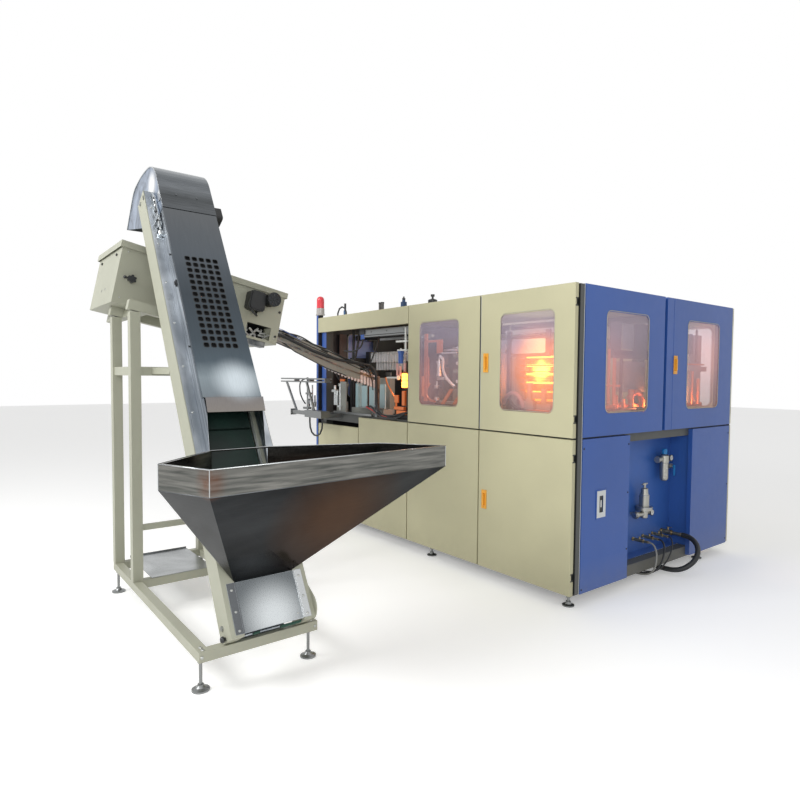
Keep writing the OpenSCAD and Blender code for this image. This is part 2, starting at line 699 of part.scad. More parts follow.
module air_manifold() color("#A79B82") at_corner() {
    for (i = [0:3]) translate([air_x, manifold_ys[i], manifold_z]) {
        big = i == 3 ? 1.5 : 1;
        stub = i == 3 ? -22 - air_x : -62 - air_x;
        rod_x(9 * big, stub - weld);
        rod_x(15 * big, 8);
        translate([22, 0, 0]) rotate([0, 90, 0]) cylinder(r=14 * big, h=22, $fn=6);
        translate([44, 0, 0]) rod_x(13 * big, 30);
        translate([74, 0, 0]) rotate([0, 90, 0]) cylinder(r=15 * big, h=18, $fn=6);
        translate([59, 0, 8 * big]) cylinder(r=6, h=20 * big, $fn=32);
        translate([50, -6, 8 * big + 18 * big]) cube([40, 12, 4]);
        translate([stub - 26, 0, 0]) rod_x(10 * big, 20);
    }
    // Couplings under the frame, where the hoses end
    for (s = [[1223, 36, 1.4], [950, 30, 0.8], [1000, 28, 0.8], [1050, 27, 0.8]])
        translate([socket_x - weld - socket_l, s[0], s[1]]) rod_x(16 * s[2], socket_l);
    box(socket_x - socket_l - 9, socket_x - socket_l - weld, 920, 1260, 8, frame_z0 - weld);
}

// Hoses and cables: a tube swept along a list of points

function unit(v) = v / norm(v);
function along(p, i) = let(n = len(p) - 1)
    unit(i == 0 ? p[1] - p[0] : i == n ? p[n] - p[n - 1]
        : unit(p[i + 1] - p[i]) + unit(p[i] - p[i - 1]));
function side(t) = unit(cross(t, abs(t[2]) > 0.9 ? [0, 1, 0] : [0, 0, 1]));
// Carries the side vector from one ring to the next, so that the tube doesn't twist
function sides(p, i=0, last=undef, out=[]) = i == len(p) ? out
    : let(t = along(p, i), s = is_undef(last) ? side(t) : unit(last - (last * t) * t))
        sides(p, i + 1, s, concat(out, [s]));

module tube_along(p, r, k=8) {
    ss = sides(p);
    rings = [for (i = [0:len(p) - 1]) let(t = along(p, i), s = ss[i], b = cross(t, s))
        for (j = [0:k - 1]) p[i] + r * (cos(360 * j / k) * s + sin(360 * j / k) * b)];
    n = len(p);
    polyhedron(rings, concat(
        [[for (j = [0:k - 1]) j]],
        [for (i = [0:n - 2], j = [0:k - 1]) let(a = i * k + j, b = i * k + (j + 1) % k)
            each [[a, a + k, b + k], [a, b + k, b]]],
        [[for (j = [k - 1:-1:0]) (n - 1) * k + j]]));
}

module hose_main() color(black) at_corner() tube_along(main_route, main_hose_d / 2);
module hose_grey() color("#8A8A84") at_corner() tube_along(grey_route, small_hose_d / 2);
module hose_black() color(black) at_corner() tube_along(black_route, small_hose_d / 2);
module hose_thin() color(black) at_corner() tube_along(thin_route, small_hose_d / 2 - 1.5);

// Roof pieces

module beacon() color("#E83040") at_corner() translate([-cab_l - 10, 32, cab_h + 30 + weld]) {
    translate([-46, -31, 0]) cube([92, 60, 6]);
    translate([0, 0, 6 - weld]) rotate_extrude($fn=64) polygon([[0, 0], [46, 0], [46, 10],
        [42, 13], [42, 64], [38, 70.3], [0, 70.3]]);
    translate([0, 0, 76 + weld]) rotate_extrude($fn=64) polygon([[0, 0], [39, 0], [39, 84],
        [36, 102], [26, 116], [12, 123], [0, 125]]);
}

module roof_valves() color("#9A9C98") at_corner() {
    z = cab_h - 1 + weld;
    // Air cylinder with its clear cap
    translate([-3010, 190, z]) {
        cylinder(r=17, h=76, $fn=48);
        translate([0, 0, 76]) cylinder(r=11, h=74, $fn=48);
    }
    // Twin silencers
    for (x = [-2398, -2362]) translate([x, 200, z]) {
        cylinder(r=15, h=92, $fn=48);
        translate([0, 0, 92]) cylinder(r=17, h=14, $fn=48);
    }
    translate([-2412, 184, z]) cube([64, 32, 16]);
    // Pilot valve
    translate([-2030, 200, z]) {
        translate([-20, -20, 0]) cube([40, 40, 78]);
        translate([0, 0, 78]) cylinder(r=15, h=34, $fn=48);
        translate([0, 0, 112]) cylinder(r=7, h=14, $fn=32);
    }
    // Round relief valve with two ears and a knob
    translate([-1625, 200, z]) {
        rotate_extrude($fn=64) polygon([[0, 0], [52, 0], [52, 14], [40, 22], [40, 56],
            [24, 64], [12, 66], [0, 66]]);
        for (a = [0:90:270]) rotate([0, 0, a]) translate([46, 0, 14]) cylinder(r=5, h=16, $fn=24);
        translate([0, 0, 66]) cylinder(r=9, h=22, $fn=32);
        translate([0, 0, 86]) cylinder(r=17, h=18, $fn=32);
    }
}

// Machine bed with the clamp

bed_x0 = fx0 + post + 20;
bed_x1 = niche_x - 10;
bed_y0 = fy0 + post + 12;
bed_y1 = fy1 - post - 40;
bed_leg = 70;
clamp_x0 = -1640;
clamp_x1 = -960;
fixed_y = 1500;
platen_t = 60;
platen_y = 620;
tie_y0 = 520;
tie_xs = [clamp_x0 + 50, clamp_x1 - 50];
tie_zs = [1160, 1730];
mould_x0 = clamp_x0 + 110;
mould_x1 = clamp_x1 - 110;
part_y = (fixed_y + platen_y + platen_t) / 2 + 60;   // where the mould halves meet
mould_z0 = 1180;
mould_z1 = 1700;
cavity_pitch = (mould_x1 - mould_x0 - 110) / 3;
carriage_z = 1780 + stretch_stroke;

module machine_bed() color("#6E706E") at_corner() {
    // Deck with two slots for the clamp's scrap
    difference() {
        box(bed_x0, bed_x1, bed_y0, bed_y1, deck_z, deck_z + deck_t);
        box(mould_x0, mould_x1, platen_y + 120, fixed_y - 60, deck_z - through, deck_z + deck_t + through);
    }
    // Legs that stand on the cross beams and carry the deck
    for (x = [mid_post_x, bay_post_x], y = [fy0 + post + 40, 1060, fy1 - post - 120])
        box(x - bed_leg / 2, x + bed_leg / 2, y, y + bed_leg, frame_z0 + post + weld, deck_z - weld);
    for (y = [fy0 + post + 40, 1060, fy1 - post - 120])
        box(socket_x - 60 - bed_leg / 2, socket_x - 60 + bed_leg / 2, y, y + bed_leg,
            frame_z0 + post + weld, deck_z - weld);
    // Deck's left end rests on brackets from the end beam
    for (y = [500, 1500])
        box(fx0 + post + weld, fx0 + post + 160, y, y + 60, deck_z - 60, deck_z - weld);
    // Fixed platen with its mould half
    box(clamp_x0, clamp_x1, fixed_y, fixed_y + platen_t, deck_z + deck_t + weld, 1800);
    difference() {
        box(mould_x0, mould_x1, part_y, fixed_y - weld, mould_z0, mould_z1);
        cavities(part_y);
    }
    // Front yoke that carries the toggle, and the clamp's cylinder
    difference() {
        box(clamp_x0, clamp_x1, tie_y0 - 60, tie_y0, deck_z + deck_t + weld, 1800);
        box(clamp_x0 + 120, clamp_x1 - 120, tie_y0 - 60 - through, tie_y0 + through, 1220, 1680);
    }
    translate([(clamp_x0 + clamp_x1) / 2, 330, 1450]) rod_y(62, 130 - weld);
    box(clamp_x0 + 110, clamp_x1 - 110, tie_y0 - 60, tie_y0 - 30, 1390, 1510);
    // Tie bars
    for (x = tie_xs, z = tie_zs) {
        translate([x, tie_y0, z]) rod_y(tie_r, fixed_y - tie_y0);
        translate([x, tie_y0 - 60 - 30, z]) rotate([-90, 0, 0]) cylinder(r=38, h=30, $fn=6);
    }
    // Columns, bridge and guide rods for the stretch carriage
    for (x = [clamp_x0 + 30, clamp_x1 - 30])
        box(x - 25, x + 25, fixed_y + platen_t + weld, fixed_y + platen_t + 60, deck_top + weld, 1990);
    box(clamp_x0 + 5, clamp_x1 - 5, part_y - 60, fixed_y + platen_t + 60, 1990 + weld, 2010);
    for (x = tie_xs) translate([x, part_y, 1768]) cylinder(r=10, h=1990 - 1768 + 1, $fn=48);
    // Stop plate of the outfeed, on the seam beam
    box(bed_x0 + 237, bed_x0 + 343, fy0 + 8, fy0 + 20, beam_top + weld, 1440);
}

module moving_platen() color("#7C7E7C") at_corner() {
    difference() {
        box(clamp_x0, clamp_x1, platen_y, platen_y + platen_t, deck_z + deck_t + 4, 1800);
        for (x = tie_xs, z = tie_zs) translate([x, platen_y - through, z])
            rod_y(tie_r + run_fit, platen_t + 2 * through);
    }
    difference() {
        box(mould_x0, mould_x1, platen_y + platen_t - weld, part_y - clamp_stroke, mould_z0, mould_z1);
        cavities(part_y - clamp_stroke);
    }
}

// Four bottle cavities with their necks, centred on the parting face at y
module cavities(y) for (i = [0:3]) translate([mould_x0 + 55 + i * cavity_pitch, y, 0]) {
    translate([0, 0, mould_z0 + 60]) cylinder(r=38, h=mould_z1 - mould_z0 - 130, $fn=48);
    translate([0, 0, mould_z1 - 80]) cylinder(r=14, h=80 + through, $fn=48);
}

// Stretch rods on a carriage that slides down on two guide rods
module stretch_carriage() color("#8E9092") at_corner() {
    difference() {
        box(clamp_x0 + 20, clamp_x1 - 20, part_y - 40, part_y + 40, carriage_z, carriage_z + 40);
        for (x = tie_xs) translate([x, part_y, carriage_z - through])
            cylinder(r=10 + run_fit, h=40 + 2 * through, $fn=48);
    }
    for (i = [0:3]) translate([mould_x0 + 55 + i * cavity_pitch, part_y, mould_z1 + 30])
        cylinder(r=7, h=carriage_z - mould_z1 - 30 + 1, $fn=32);
}

// Oven: a housing with slotted roof, reflector wall and lamp bank
oven_x0 = -800;
oven_x1 = -215;
oven_y0 = 330;
oven_y1 = 700;
oven_z0 = deck_z + deck_t + weld;
oven_z1 = 1780;
lamp_y = 450;

module oven_housing() color("#9C9A94") at_corner() {
    // Floor, roof and back wall are one folded sheet
    difference() {
        box(oven_x0, oven_x1, oven_y0, oven_y1, oven_z0, oven_z1);
        box(oven_x0 - through, oven_x1 + through, oven_y0 - through, oven_y1 - 6, oven_z0 + 90, oven_z1 - 6);
        for (i = [0:7]) translate([oven_x0 + 50 + i * 72, 560, oven_z1 - 10])
            cube([40, 100, 10 + through]);
    }
    // End brackets with the lamp holders
    for (x = [oven_x0, oven_x1 - 20])
        box(x, x + 20, lamp_y - 25, lamp_y + 25, oven_z0 + 90 + weld, oven_z1 - 6 - weld);
}

module oven_lamps() color("#FFB347") at_corner() {
    pitch = (oven_z1 - oven_z0 - 190) / lamp_count;
    for (i = [0:lamp_count - 1])
        translate([oven_x0 + 20 + weld, lamp_y, oven_z0 + 130 + i * pitch])
            rod_x(8, oven_x1 - oven_x0 - 40 - 2 * weld);
}

// Chute with the row of preforms

module chute_strip(w, lo, hi, lo_end) rotate([90, 0, 90]) linear_extrude(w)
    polygon([[end_wall_y(chute_z0 + lo), chute_z0 + lo], [bend_y, bend_z + lo],
        [chute_end_y, rail_line(chute_end_y) + lo_end], [chute_end_y, rail_line(chute_end_y) + hi],
        [bend_y, bend_z + hi], [end_wall_y(chute_z0 + hi), chute_z0 + hi]]);

module preform_chute() color(steel) at_corner() {
    half = rail_gap / 2;
    // Flange on the sorter's end wall, round its mouth
    in_sorter() translate([roller_mid, sorter_l + weld, 0]) difference() {
        translate([-60, 0, 14]) cube([120, 3, 262]);
        translate([-half - 4, -1, 30]) cube([rail_gap + 8, 5, 210]);
    }
    // Bright tray under the sorter's low end
    in_sorter() translate([-92, sorter_l - 236, -40]) cube([82, 150, 40 - weld]);
    translate([chute_x, 0, 0]) chute_rails(half);
}

module chute_rails(half) {
    // Two rails, and the deep side sheets of the upper part
    for (x = [-half - rail_t, half]) translate([x, 0, 0]) chute_strip(rail_t, -24, 0, -24);
    for (x = [-half - rail_t - 3, half + rail_t]) translate([x, 0, 0]) chute_side(3, -46, 30);
    // Guard above the necks, on inverted hoops
    translate([-16, 0, 0]) chute_strip(32, guard_h, guard_h + 8, guard_h);
    for (i = [0:5]) translate([0, chute_y0 + 60 + i * 200, rail_line(chute_y0 + 72 + i * 200)])
        difference() {
            translate([-half - rail_t, 0, -2]) cube([rail_gap + 2 * rail_t, 12, guard_h + 4]);
            translate([-half - rail_t + 2, -1, -3]) cube([rail_gap + 2 * rail_t - 4, 14, guard_h]);
        }
    // Side bar for the hose
    translate([half + rail_t - 1, 0, 0]) chute_strip(15, -30, -18, -20);
    // Post that carries the low end on the seam beam
    box(-half - rail_t, half + rail_t, chute_end_y + weld, chute_end_y + 30, beam_top + weld,
        rail_line(chute_end_y) + 20);
}

// Side sheet from the sorter's end wall to the bend
module chute_side(w, lo, hi) rotate([90, 0, 90]) linear_extrude(w)
    polygon([[end_wall_y(chute_z0 + lo), chute_z0 + lo], [bend_y, bend_z + lo],
        [bend_y, bend_z + hi], [end_wall_y(chute_z0 + hi), chute_z0 + hi]]);

// A preform hangs by its neck ring from the two rails, upright
module preform() rotate_extrude($fn=40)
    polygon([[0, 0], [preform_r * 0.6, 2], [preform_r * 0.92, 6], [preform_r, 12],
        [preform_r, preform_l - 2], [neck_r - 3.5, preform_l], [neck_r, preform_l + 0.5],
        [neck_r, preform_l + 3], [neck_r - 4, preform_l + 4], [neck_r - 4, preform_l + 20],
        [neck_r - 6, preform_l + 20], [preform_r - 4, 14], [0, 8]]);

module preforms() color([0.80, 0.83, 0.84, 0.7]) at_corner() {
    pitch = 2 * neck_r + 1.5;
    for (i = [0:preform_count - 1]) {
        y = chute_end_y - 20 - i * pitch;
        // The flat ring rests on the rails' uphill side
        rise = sqrt(neck_r * neck_r - rail_gap * rail_gap / 4)
            * tan(y < bend_y ? chute_tilt : chute_end_tilt);
        translate([chute_x, y, rail_line(y) + rise - 0.2 - preform_l]) preform();
    }
}

// Aluminium frame that carries finished bottles out of the bay, past the left end
module outfeed_rack() color("#A9ACAE") at_corner() {
    x0 = -3700;
    x1 = -2760;
    y = -200;
    low_z = beam_top - 40;
    // Upper guide rails and their arms back to the frame
    for (z = [1428, 1458]) for (dy = [0, 70]) box(x0, x1, y + dy, y + dy + 14, z, z + 14);
    for (x = [-3420, -3110, -2790]) box(x, x + 20, y + 14 + weld, y + 70 - weld, 1428, 1472);
    // Lower beam with its head plate
    box(-3420, -3090 - weld, y - 10, y + 30, low_z + 16, low_z + 56);
    box(-3430, -3420 - weld, y - 22, y + 42, low_z + 4, low_z + 68);
    box(-3090, -2760, y - 40, y + 60, low_z, low_z + 70);
    // Slanted legs between the lower beam and the rails
    for (s = [[-3600, -3380], [-3160, -3010]]) rotate([90, 0, 0]) translate([0, 0, -y - 24])
        linear_extrude(16) polygon([[s[0], 1428 - weld], [s[0] + 26, 1428 - weld],
            [s[1] + 26, low_z + (s[1] > -3090 ? 70 : 56) + weld],
            [s[1], low_z + (s[1] > -3090 ? 70 : 56) + weld]]);
    // Bracket from the rack to the bay's seam beam
    for (x = [-3000, -2860]) box(x, x + 60, y + 60 + weld, fy0 - weld, low_z, low_z + 40);
}

// Cables and hoses of the bay, clipped to the machine at both ends
module bay_cables() color(black) at_corner() {
    tube_along(from_beam(loop_route), 9);
    tube_along(chute_hose_route, 13);
    tube_along(hung(drop_a_route), 14);
    tube_along(hung(drop_b_route), 12);
    tube_along(hung(swag_route), 7);
    translate([0, 0, cab_h - 2100]) tube_along(roof_arc_route, 8);
}

// Feeder frame

module feeder_frame() color(feeder_beige) at_corner() {
    t = base_tube;
    c = column;
    // Base: two long rails and four cross tubes
    for (y = [base_y0, base_y1 - t]) box(base_x0, base_x1 - t - weld, y, y + t, base_z, base_top);
    box(base_x1 - t, base_x1, base_y0, base_y1, base_z, base_top);
    for (x = [base_x0, col_x_b - c / 2])
        box(x, x + t, base_y0 + t + weld, base_y1 - t - weld, base_z, base_top);
    // Columns, with their tops cut to the sorter's slope
    for (x = [col_x_a, col_x_b], y = [base_y0, base_y1 - c])
        box(x - c / 2, x + c / 2, y, y + c, base_top + weld, column_top(y, c));
    // Ring of bars at the height of the eye
    for (y = [base_y0 + 10, base_y1 - c + 10])
        box(col_x_a + c / 2 + weld, col_x_b - c / 2 - weld, y, y + 40, 1490, 1545);
    for (x = [col_x_a, col_x_b])
        box(x - 20, x + 20, base_y0 + c + weld, base_y1 - c - weld, 1490, 1545);
    // Dark bar between the front columns
    box(col_x_b - 12, col_x_b + 12, base_y0 + c + weld, base_y1 - c - weld, 520, 556);
    // Sloping head frame under the sorter box
    in_sorter() {
        for (x = [col_x_a, col_x_b]) head_rail(x - sorter_x - 30, x - sorter_x + 30);
        for (y = [120, 660]) {
            box_local(col_x_a + 30 - sorter_x, col_x_b - 30 - sorter_x, y);
            box_local(-sorter_w + 20, col_x_a - 30 - sorter_x, y);
        }
    }
    // Struts from the columns to the elevator's side beams
    for (y = [way_y0 - stringer_w + 4, way_y1 + 22])
        box(col_x_b + 20 + weld, strut_x, y, y + stringer_w - 26, 1500, 1540);
}

// The struts end at the back of the side beams
strut_x = tail_x + stringer_n0 * sin(incline) - (1540 - tail_z - stringer_n0 * cos(incline))
    / tan(incline) - 2 * weld;

function column_top(y, c) =
    sorter_z - (y + c - sorter_y) * tan(sorter_tilt) - 60 / cos(sorter_tilt) - weld;

module head_rail(x0, x1)
    translate([x0, base_y0 - sorter_y, -60]) cube([x1 - x0, base_w + 130, 60 - weld]);

module box_local(x0, x1, y)
    translate([x0 + weld, y, -60]) cube([x1 - x0 - 2 * weld, 50, 60 - weld]);

module shelf_plate() color("#B9C4C6") at_corner() {
    x0 = base_x0 + 20;
    y0 = base_y0 + 115;
    y1 = base_y1 - 120;
    box(x0 - 60, col_x_b + 10, y0, y1, base_top + weld, base_top + 4);
    box(x0 - 60, x0 - 57, y0, y1, base_top + 4, base_top + 14);
}

// Elevator

module elevator_stringers() color(feeder_beige) at_corner() in_elevator()
    for (s = [0, 1]) translate([0, s == 0 ? way_y0 - stringer_w : way_y1, 0]) difference() {
        union() {
            translate([stringer_n0, 0, foot_u]) cube([stringer_d, stringer_w, elevator_l - foot_u + 30]);
            // Rounded bearing plate on the far beam's outer side
            if (s == 1) translate([0, stringer_w + weld, 0]) rotate([90, 0, 0]) mirror([0, 0, 1])
                linear_extrude(bearing_t) polygon(concat([[stringer_n0 + 5, foot_u]],
                    arc(46, 0, 74, -78, 32, 9), [[52, 143], [20, 168], [stringer_n0 + 5, 168]]));
        }
        // Axle seats of both rollers
        for (u = [0, elevator_l]) translate([0, -through, u])
            rod_y(axle_r + run_fit, stringer_w + bearing_t + 2 * through);
        // Cut level above the base tubes
        rotate([0, 90 - incline, 0]) translate([-300, -through, base_top - tail_z + weld - 400])
            cube([700, stringer_w + bearing_t + 2 * through, 400]);
    }

// Side walls: an angle sheet on each side beam, whose front edge is upright at the throat
lip_n = cover_n + 12;
lip_top = cover_u0 + 16;

module casing_profile() polygon([[stringer_n1 + weld, cover_u0 - 360],
    [stringer_n1 + weld, elevator_l + 25], [cover_n - 2 * weld, elevator_l + 25],
    [cover_n - 2 * weld, cover_u0], [cover_n - 2 * weld, lip_u + 24]]);

module elevator_casing() color(steel) at_corner() in_elevator() {
    for (s = [0, 1]) {
        y_in = s == 0 ? way_y0 : way_y1;
        translate([0, s == 0 ? y_in - steel_t : y_in, 0]) rotate([90, 0, 0]) mirror([0, 0, 1])
            linear_extrude(steel_t) casing_profile();
        // Flange screwed on the side beam
        y_out = s == 0 ? y_in - stringer_w + 4 : y_in + steel_t - weld;
        translate([stringer_n1 + weld, y_out, cover_u0 - 340])
            cube([steel_t, stringer_w - 4 - steel_t + weld, elevator_l + 25 - cover_u0 + 340]);
        // Guide strip beside the belt
        translate([belt_n + 2, s == 0 ? way_y0 + weld : way_y1 - 14 - weld, 60])
            cube([10, 14, elevator_l - 120]);
    }
    // Lower cover plate over the boot, between two screwed strips, and the bar below it
    low_h = low_cover_u1 - low_cover_u0;
    translate([stringer_n1 - 4 - steel_t, way_y0, low_cover_u0]) difference() {
        translate([-18, 0, 0]) cube([18 + steel_t, belt_way, low_h]);
        translate([-18 - through, steel_t, -through])
            cube([18 + through, belt_way - 2 * steel_t, low_h - steel_t + through]);
    }
    for (y = [way_y0 - 42, way_y1 + 2]) translate([stringer_n1 + weld, y, low_cover_u0])
        cube([steel_t, 40, low_h]);
    rotate([0, 90 - incline, 0])
        translate([base_x1 - tail_x - 30, way_y0 + 2, base_top - tail_z + weld + 13])
            rod_y(13, belt_way - 60);
    // Pan under the return run, on two packing strips
    translate([stringer_n0 - 11, way_y0 - 20, 120]) cube([steel_t, belt_way + 40, elevator_l - 330]);
    for (y = [way_y0 - 20, way_y1]) translate([stringer_n0 - 9, y, 120])
        cube([9 - weld, 20, elevator_l - 330]);
}

// Front cover with the vent field and the flared lip above the throat
module elevator_cover() color(steel) at_corner() in_elevator() {
    w = belt_way + 2 * steel_t + 4;
    y0 = way_y0 - steel_t - 2;
    vent_w = (vent_cols - 1) * vent_pitch + vent_hole;
    vent_h = (vent_rows - 1) * (vent_pitch + 1.7) + vent_hole;
    translate([0, y0, 0]) difference() {
        union() {
            translate([cover_n, 0, lip_top]) cube([steel_t, w, cover_u1 - lip_top]);
            // Folded side flanges
            for (y = [-steel_t - weld, w + weld]) translate([cover_n - 16, y, lip_top])
                cube([16 + steel_t, steel_t, cover_u1 - lip_top]);
            for (y = [-weld - 1, w - 1]) translate([cover_n, y, lip_top])
                cube([steel_t, 2 + weld, cover_u1 - lip_top]);
            // Flap above the throat: it steps out and hangs nearly upright
            rotate([90, 0, 0]) mirror([0, 0, 1]) linear_extrude(w)
                polygon([[cover_n, lip_top + 1], [cover_n + 24, cover_u0], [lip_n, lip_u],
                    [lip_n + steel_t, lip_u], [cover_n + 28, cover_u0 + 1],
                    [cover_n + steel_t, lip_top + 1]]);
        }
        for (i = [0:vent_cols - 1], j = [0:vent_rows - 1])
            translate([cover_n - through, (w - vent_w) / 2 + i * vent_pitch,
                cover_u1 - 380 - vent_h + j * (vent_pitch + 1.7)])
                vent(vent_hole);
    }
}

module vent(a) rotate([90, 0, 90]) linear_extrude(steel_t + 2 * through) {
    r = 7;
    translate([r, 0]) square([a - 2 * r, a]);
    translate([0, r]) square([a, a - 2 * r]);
    for (x = [r, a - r], y = [r, a - r]) translate([x, y]) circle(r=r, $fn=16);
}

// Hood: one bent sheet over the head roller, and its two cheeks
function arc(cx, cz, r, a0, a1, n) =
    [for (i = [0:n]) let(a = a0 + (a1 - a0) * i / n) [cx + r * cos(a), cz + r * sin(a)]];

// Outline round the head roller's axis
hood_r1 = 217;
hood_r2 = 1024;
hood_r3 = 200;
function upright(n, u) = [n * sin(incline) - (u - elevator_l) * cos(incline),
    n * cos(incline) + (u - elevator_l) * sin(incline)];
hood_n = cover_n + steel_t + 0.6;
hood_c1 = upright(hood_n - hood_r1, elevator_l + 41);
hood_c2 = hood_c1 + [0, hood_r1 - hood_r2];
hood_c3 = hood_c2 + (hood_r2 - hood_r3) * [cos(108), sin(108)];
hood_end = hood_c3 + hood_r3 * [cos(140), sin(140)] + 238 * [cos(230), sin(230)];

function hood_line(d) = concat([upright(hood_n + d, seam_u - 40)],
    arc(hood_c1[0], hood_c1[1], hood_r1 + d, 90 - incline, 90, 6),
    arc(hood_c2[0], hood_c2[1], hood_r2 + d, 92, 106, 3),
    arc(hood_c3[0], hood_c3[1], hood_r3 + d, 108, 140, 5),
    [hood_end + d * [cos(140), sin(140)]]);

module elevator_hood() color(steel) at_corner()
    translate([tail_x - elevator_l * cos(incline), 0, tail_z + elevator_l * sin(incline)]) {
        w = belt_way + 2 * steel_t + 14;
        y0 = way_y0 - steel_t - 7;
        outer = hood_line(steel_t);
        inner = hood_line(0);
        n = len(inner);
        translate([0, y0, 0]) rotate([90, 0, 0]) mirror([0, 0, 1]) {
            linear_extrude(w) polygon(concat(outer, [for (i = [0:n - 1]) inner[n - 1 - i]]));
            // Far cheek closes the hood; the near side stays open round the beam's end
            translate([0, 0, w - steel_t]) linear_extrude(steel_t)
                polygon(concat([upright(hood_n, seam_u - 28)], [for (i = [1:n - 1]) inner[i]],
                    [[-470, -110], upright(stringer_n0 - 10, elevator_l - 40),
                    upright(stringer_n0 - 10, elevator_l + 48), upright(stringer_n1 + 12, elevator_l + 48),
                    upright(stringer_n1 + 12, seam_u - 28)]));
        }
        // Tabs that hold the hood on the side walls
        rotate([0, incline - 90, 0]) for (y = [way_y0 - steel_t - 7, way_y1 + steel_t + weld])
            translate([cover_n - 40, y, seam_u + 40 - elevator_l]) cube([43.6, 7 - weld, 60]);
    }

// Belt with its cleats, one closed loop round both rollers
belt_w = belt_way - 35;

module elevator_belt() color("#14382F") at_corner() in_elevator()
    translate([0, way_y0 + (belt_way - belt_w) / 2, 0]) {
        r0 = roller_r + run_fit;
        r1 = roller_r + belt_t;
        // Straight runs and the two half turns
        for (s = [-1, 1]) translate([s > 0 ? r0 : -r1, 0, 0]) cube([r1 - r0, belt_w, elevator_l]);
        for (e = [0, 1]) difference() {
            translate([0, 0, e * elevator_l]) rod_y(r1, belt_w);
            translate([0, -1, e * elevator_l]) rod_y(r0, belt_w + 2);
            translate([-r1 - 1, -1, e == 0 ? 0 : elevator_l - r1 - 1])
                cube([2 * r1 + 2, belt_w + 2, r1 + 1]);
        }
        pitch = (elevator_l - 200) / (cleats - 1);
        for (i = [0:cleats - 1], s = [-1, 1])
            translate([s > 0 ? r1 - 0.5 : -r1 - cleat_h + 0.5, 10, 100 + i * pitch + (s > 0 ? 0 : 40)])
                cube([cleat_h, belt_w - 20, 6]);
    }

module belt_roller() {
    w = belt_w - 4;
    y = way_y0 + (belt_way - w) / 2;
    translate([0, y, 0]) rod_y(roller_r, w);
    translate([0, way_y0 - stringer_w - 8, 0]) rod_y(axle_r, belt_way + 2 * stringer_w + 16);
}

module head_roller() color("#55585A") at_corner() in_elevator() translate([0, 0, elevator_l]) belt_roller();
module tail_roller() color("#55585A") at_corner() in_elevator() belt_roller();

// Hopper

// Plan of the rim, from the near front corner, anticlockwise
rim_front = -128;
rim_plan = [[rim_front, -2287], [rim_front - 102, -885], [-550, -1115],
    [rim_back(rim_z - rim_h), way_y1 + steel_t + 1], [rim_back(rim_z - rim_h), way_y0 - steel_t - 1],
    [-420, -2410]];
outlet_u = low_cover_u1 + 6;

// X of the side beams' front plane at height z
function rim_back(z) = tail_x + (stringer_n1 + 1) / sin(incline) - (z - tail_z) / tan(incline);

// Moves each side of a convex outline inwards by d
function inset(p, d) = [for (i = [0:len(p) - 1])
    let(a = p[(i + len(p) - 1) % len(p)], b = p[i], c = p[(i + 1) % len(p)],
        n1 = left_of(b - a), n2 = left_of(c - b),
        k = d / (1 + n1 * n2)) b + k * (n1 + n2)];
function left_of(v) = unit([-v[1], v[0]]);

outlet_x = tail_x + (stringer_n1 + 4) * sin(incline) - outlet_u * cos(incline);
outlet_z = tail_z + (stringer_n1 + 4) * cos(incline) + outlet_u * sin(incline);

module hopper_cone(d) hull() {
    translate([0, 0, rim_z - rim_h - 1]) linear_extrude(1) polygon(inset(rim_plan, d));
    translate([outlet_x - 20, way_y0 - steel_t + d, outlet_z])
        cube([20 - d, belt_way + 2 * (steel_t - d), 1]);
}

module hopper() color(satin_steel) at_corner() difference() {
    union() {
        difference() {
            hopper_cone(0);
            translate([0, 0, 0.5]) hopper_cone(steel_t);
        }
        // Upright band and its folded rim
        difference() {
            translate([0, 0, rim_z - rim_h - 0.5]) linear_extrude(rim_h + 0.5) polygon(rim_plan);
            translate([0, 0, rim_z - rim_h - 2]) linear_extrude(rim_h + 4) polygon(inset(rim_plan, steel_t));
        }
        difference() {
            translate([0, 0, rim_z - steel_t]) linear_extrude(steel_t) polygon(rim_plan);
            translate([0, 0, rim_z - rim_h]) linear_extrude(rim_h + 4) polygon(inset(rim_plan, 16));
        }
    }
    // Open to the belt between the side walls, and cut along the side beams' front
    in_elevator() {
        translate([-600, -2500, -300]) cube([600 + stringer_n1 + 1, 1800, 1800]);
        translate([0, way_y0, -300]) cube([stringer_n1 + 60, belt_way, 1800]);
    }
}

// Sorter

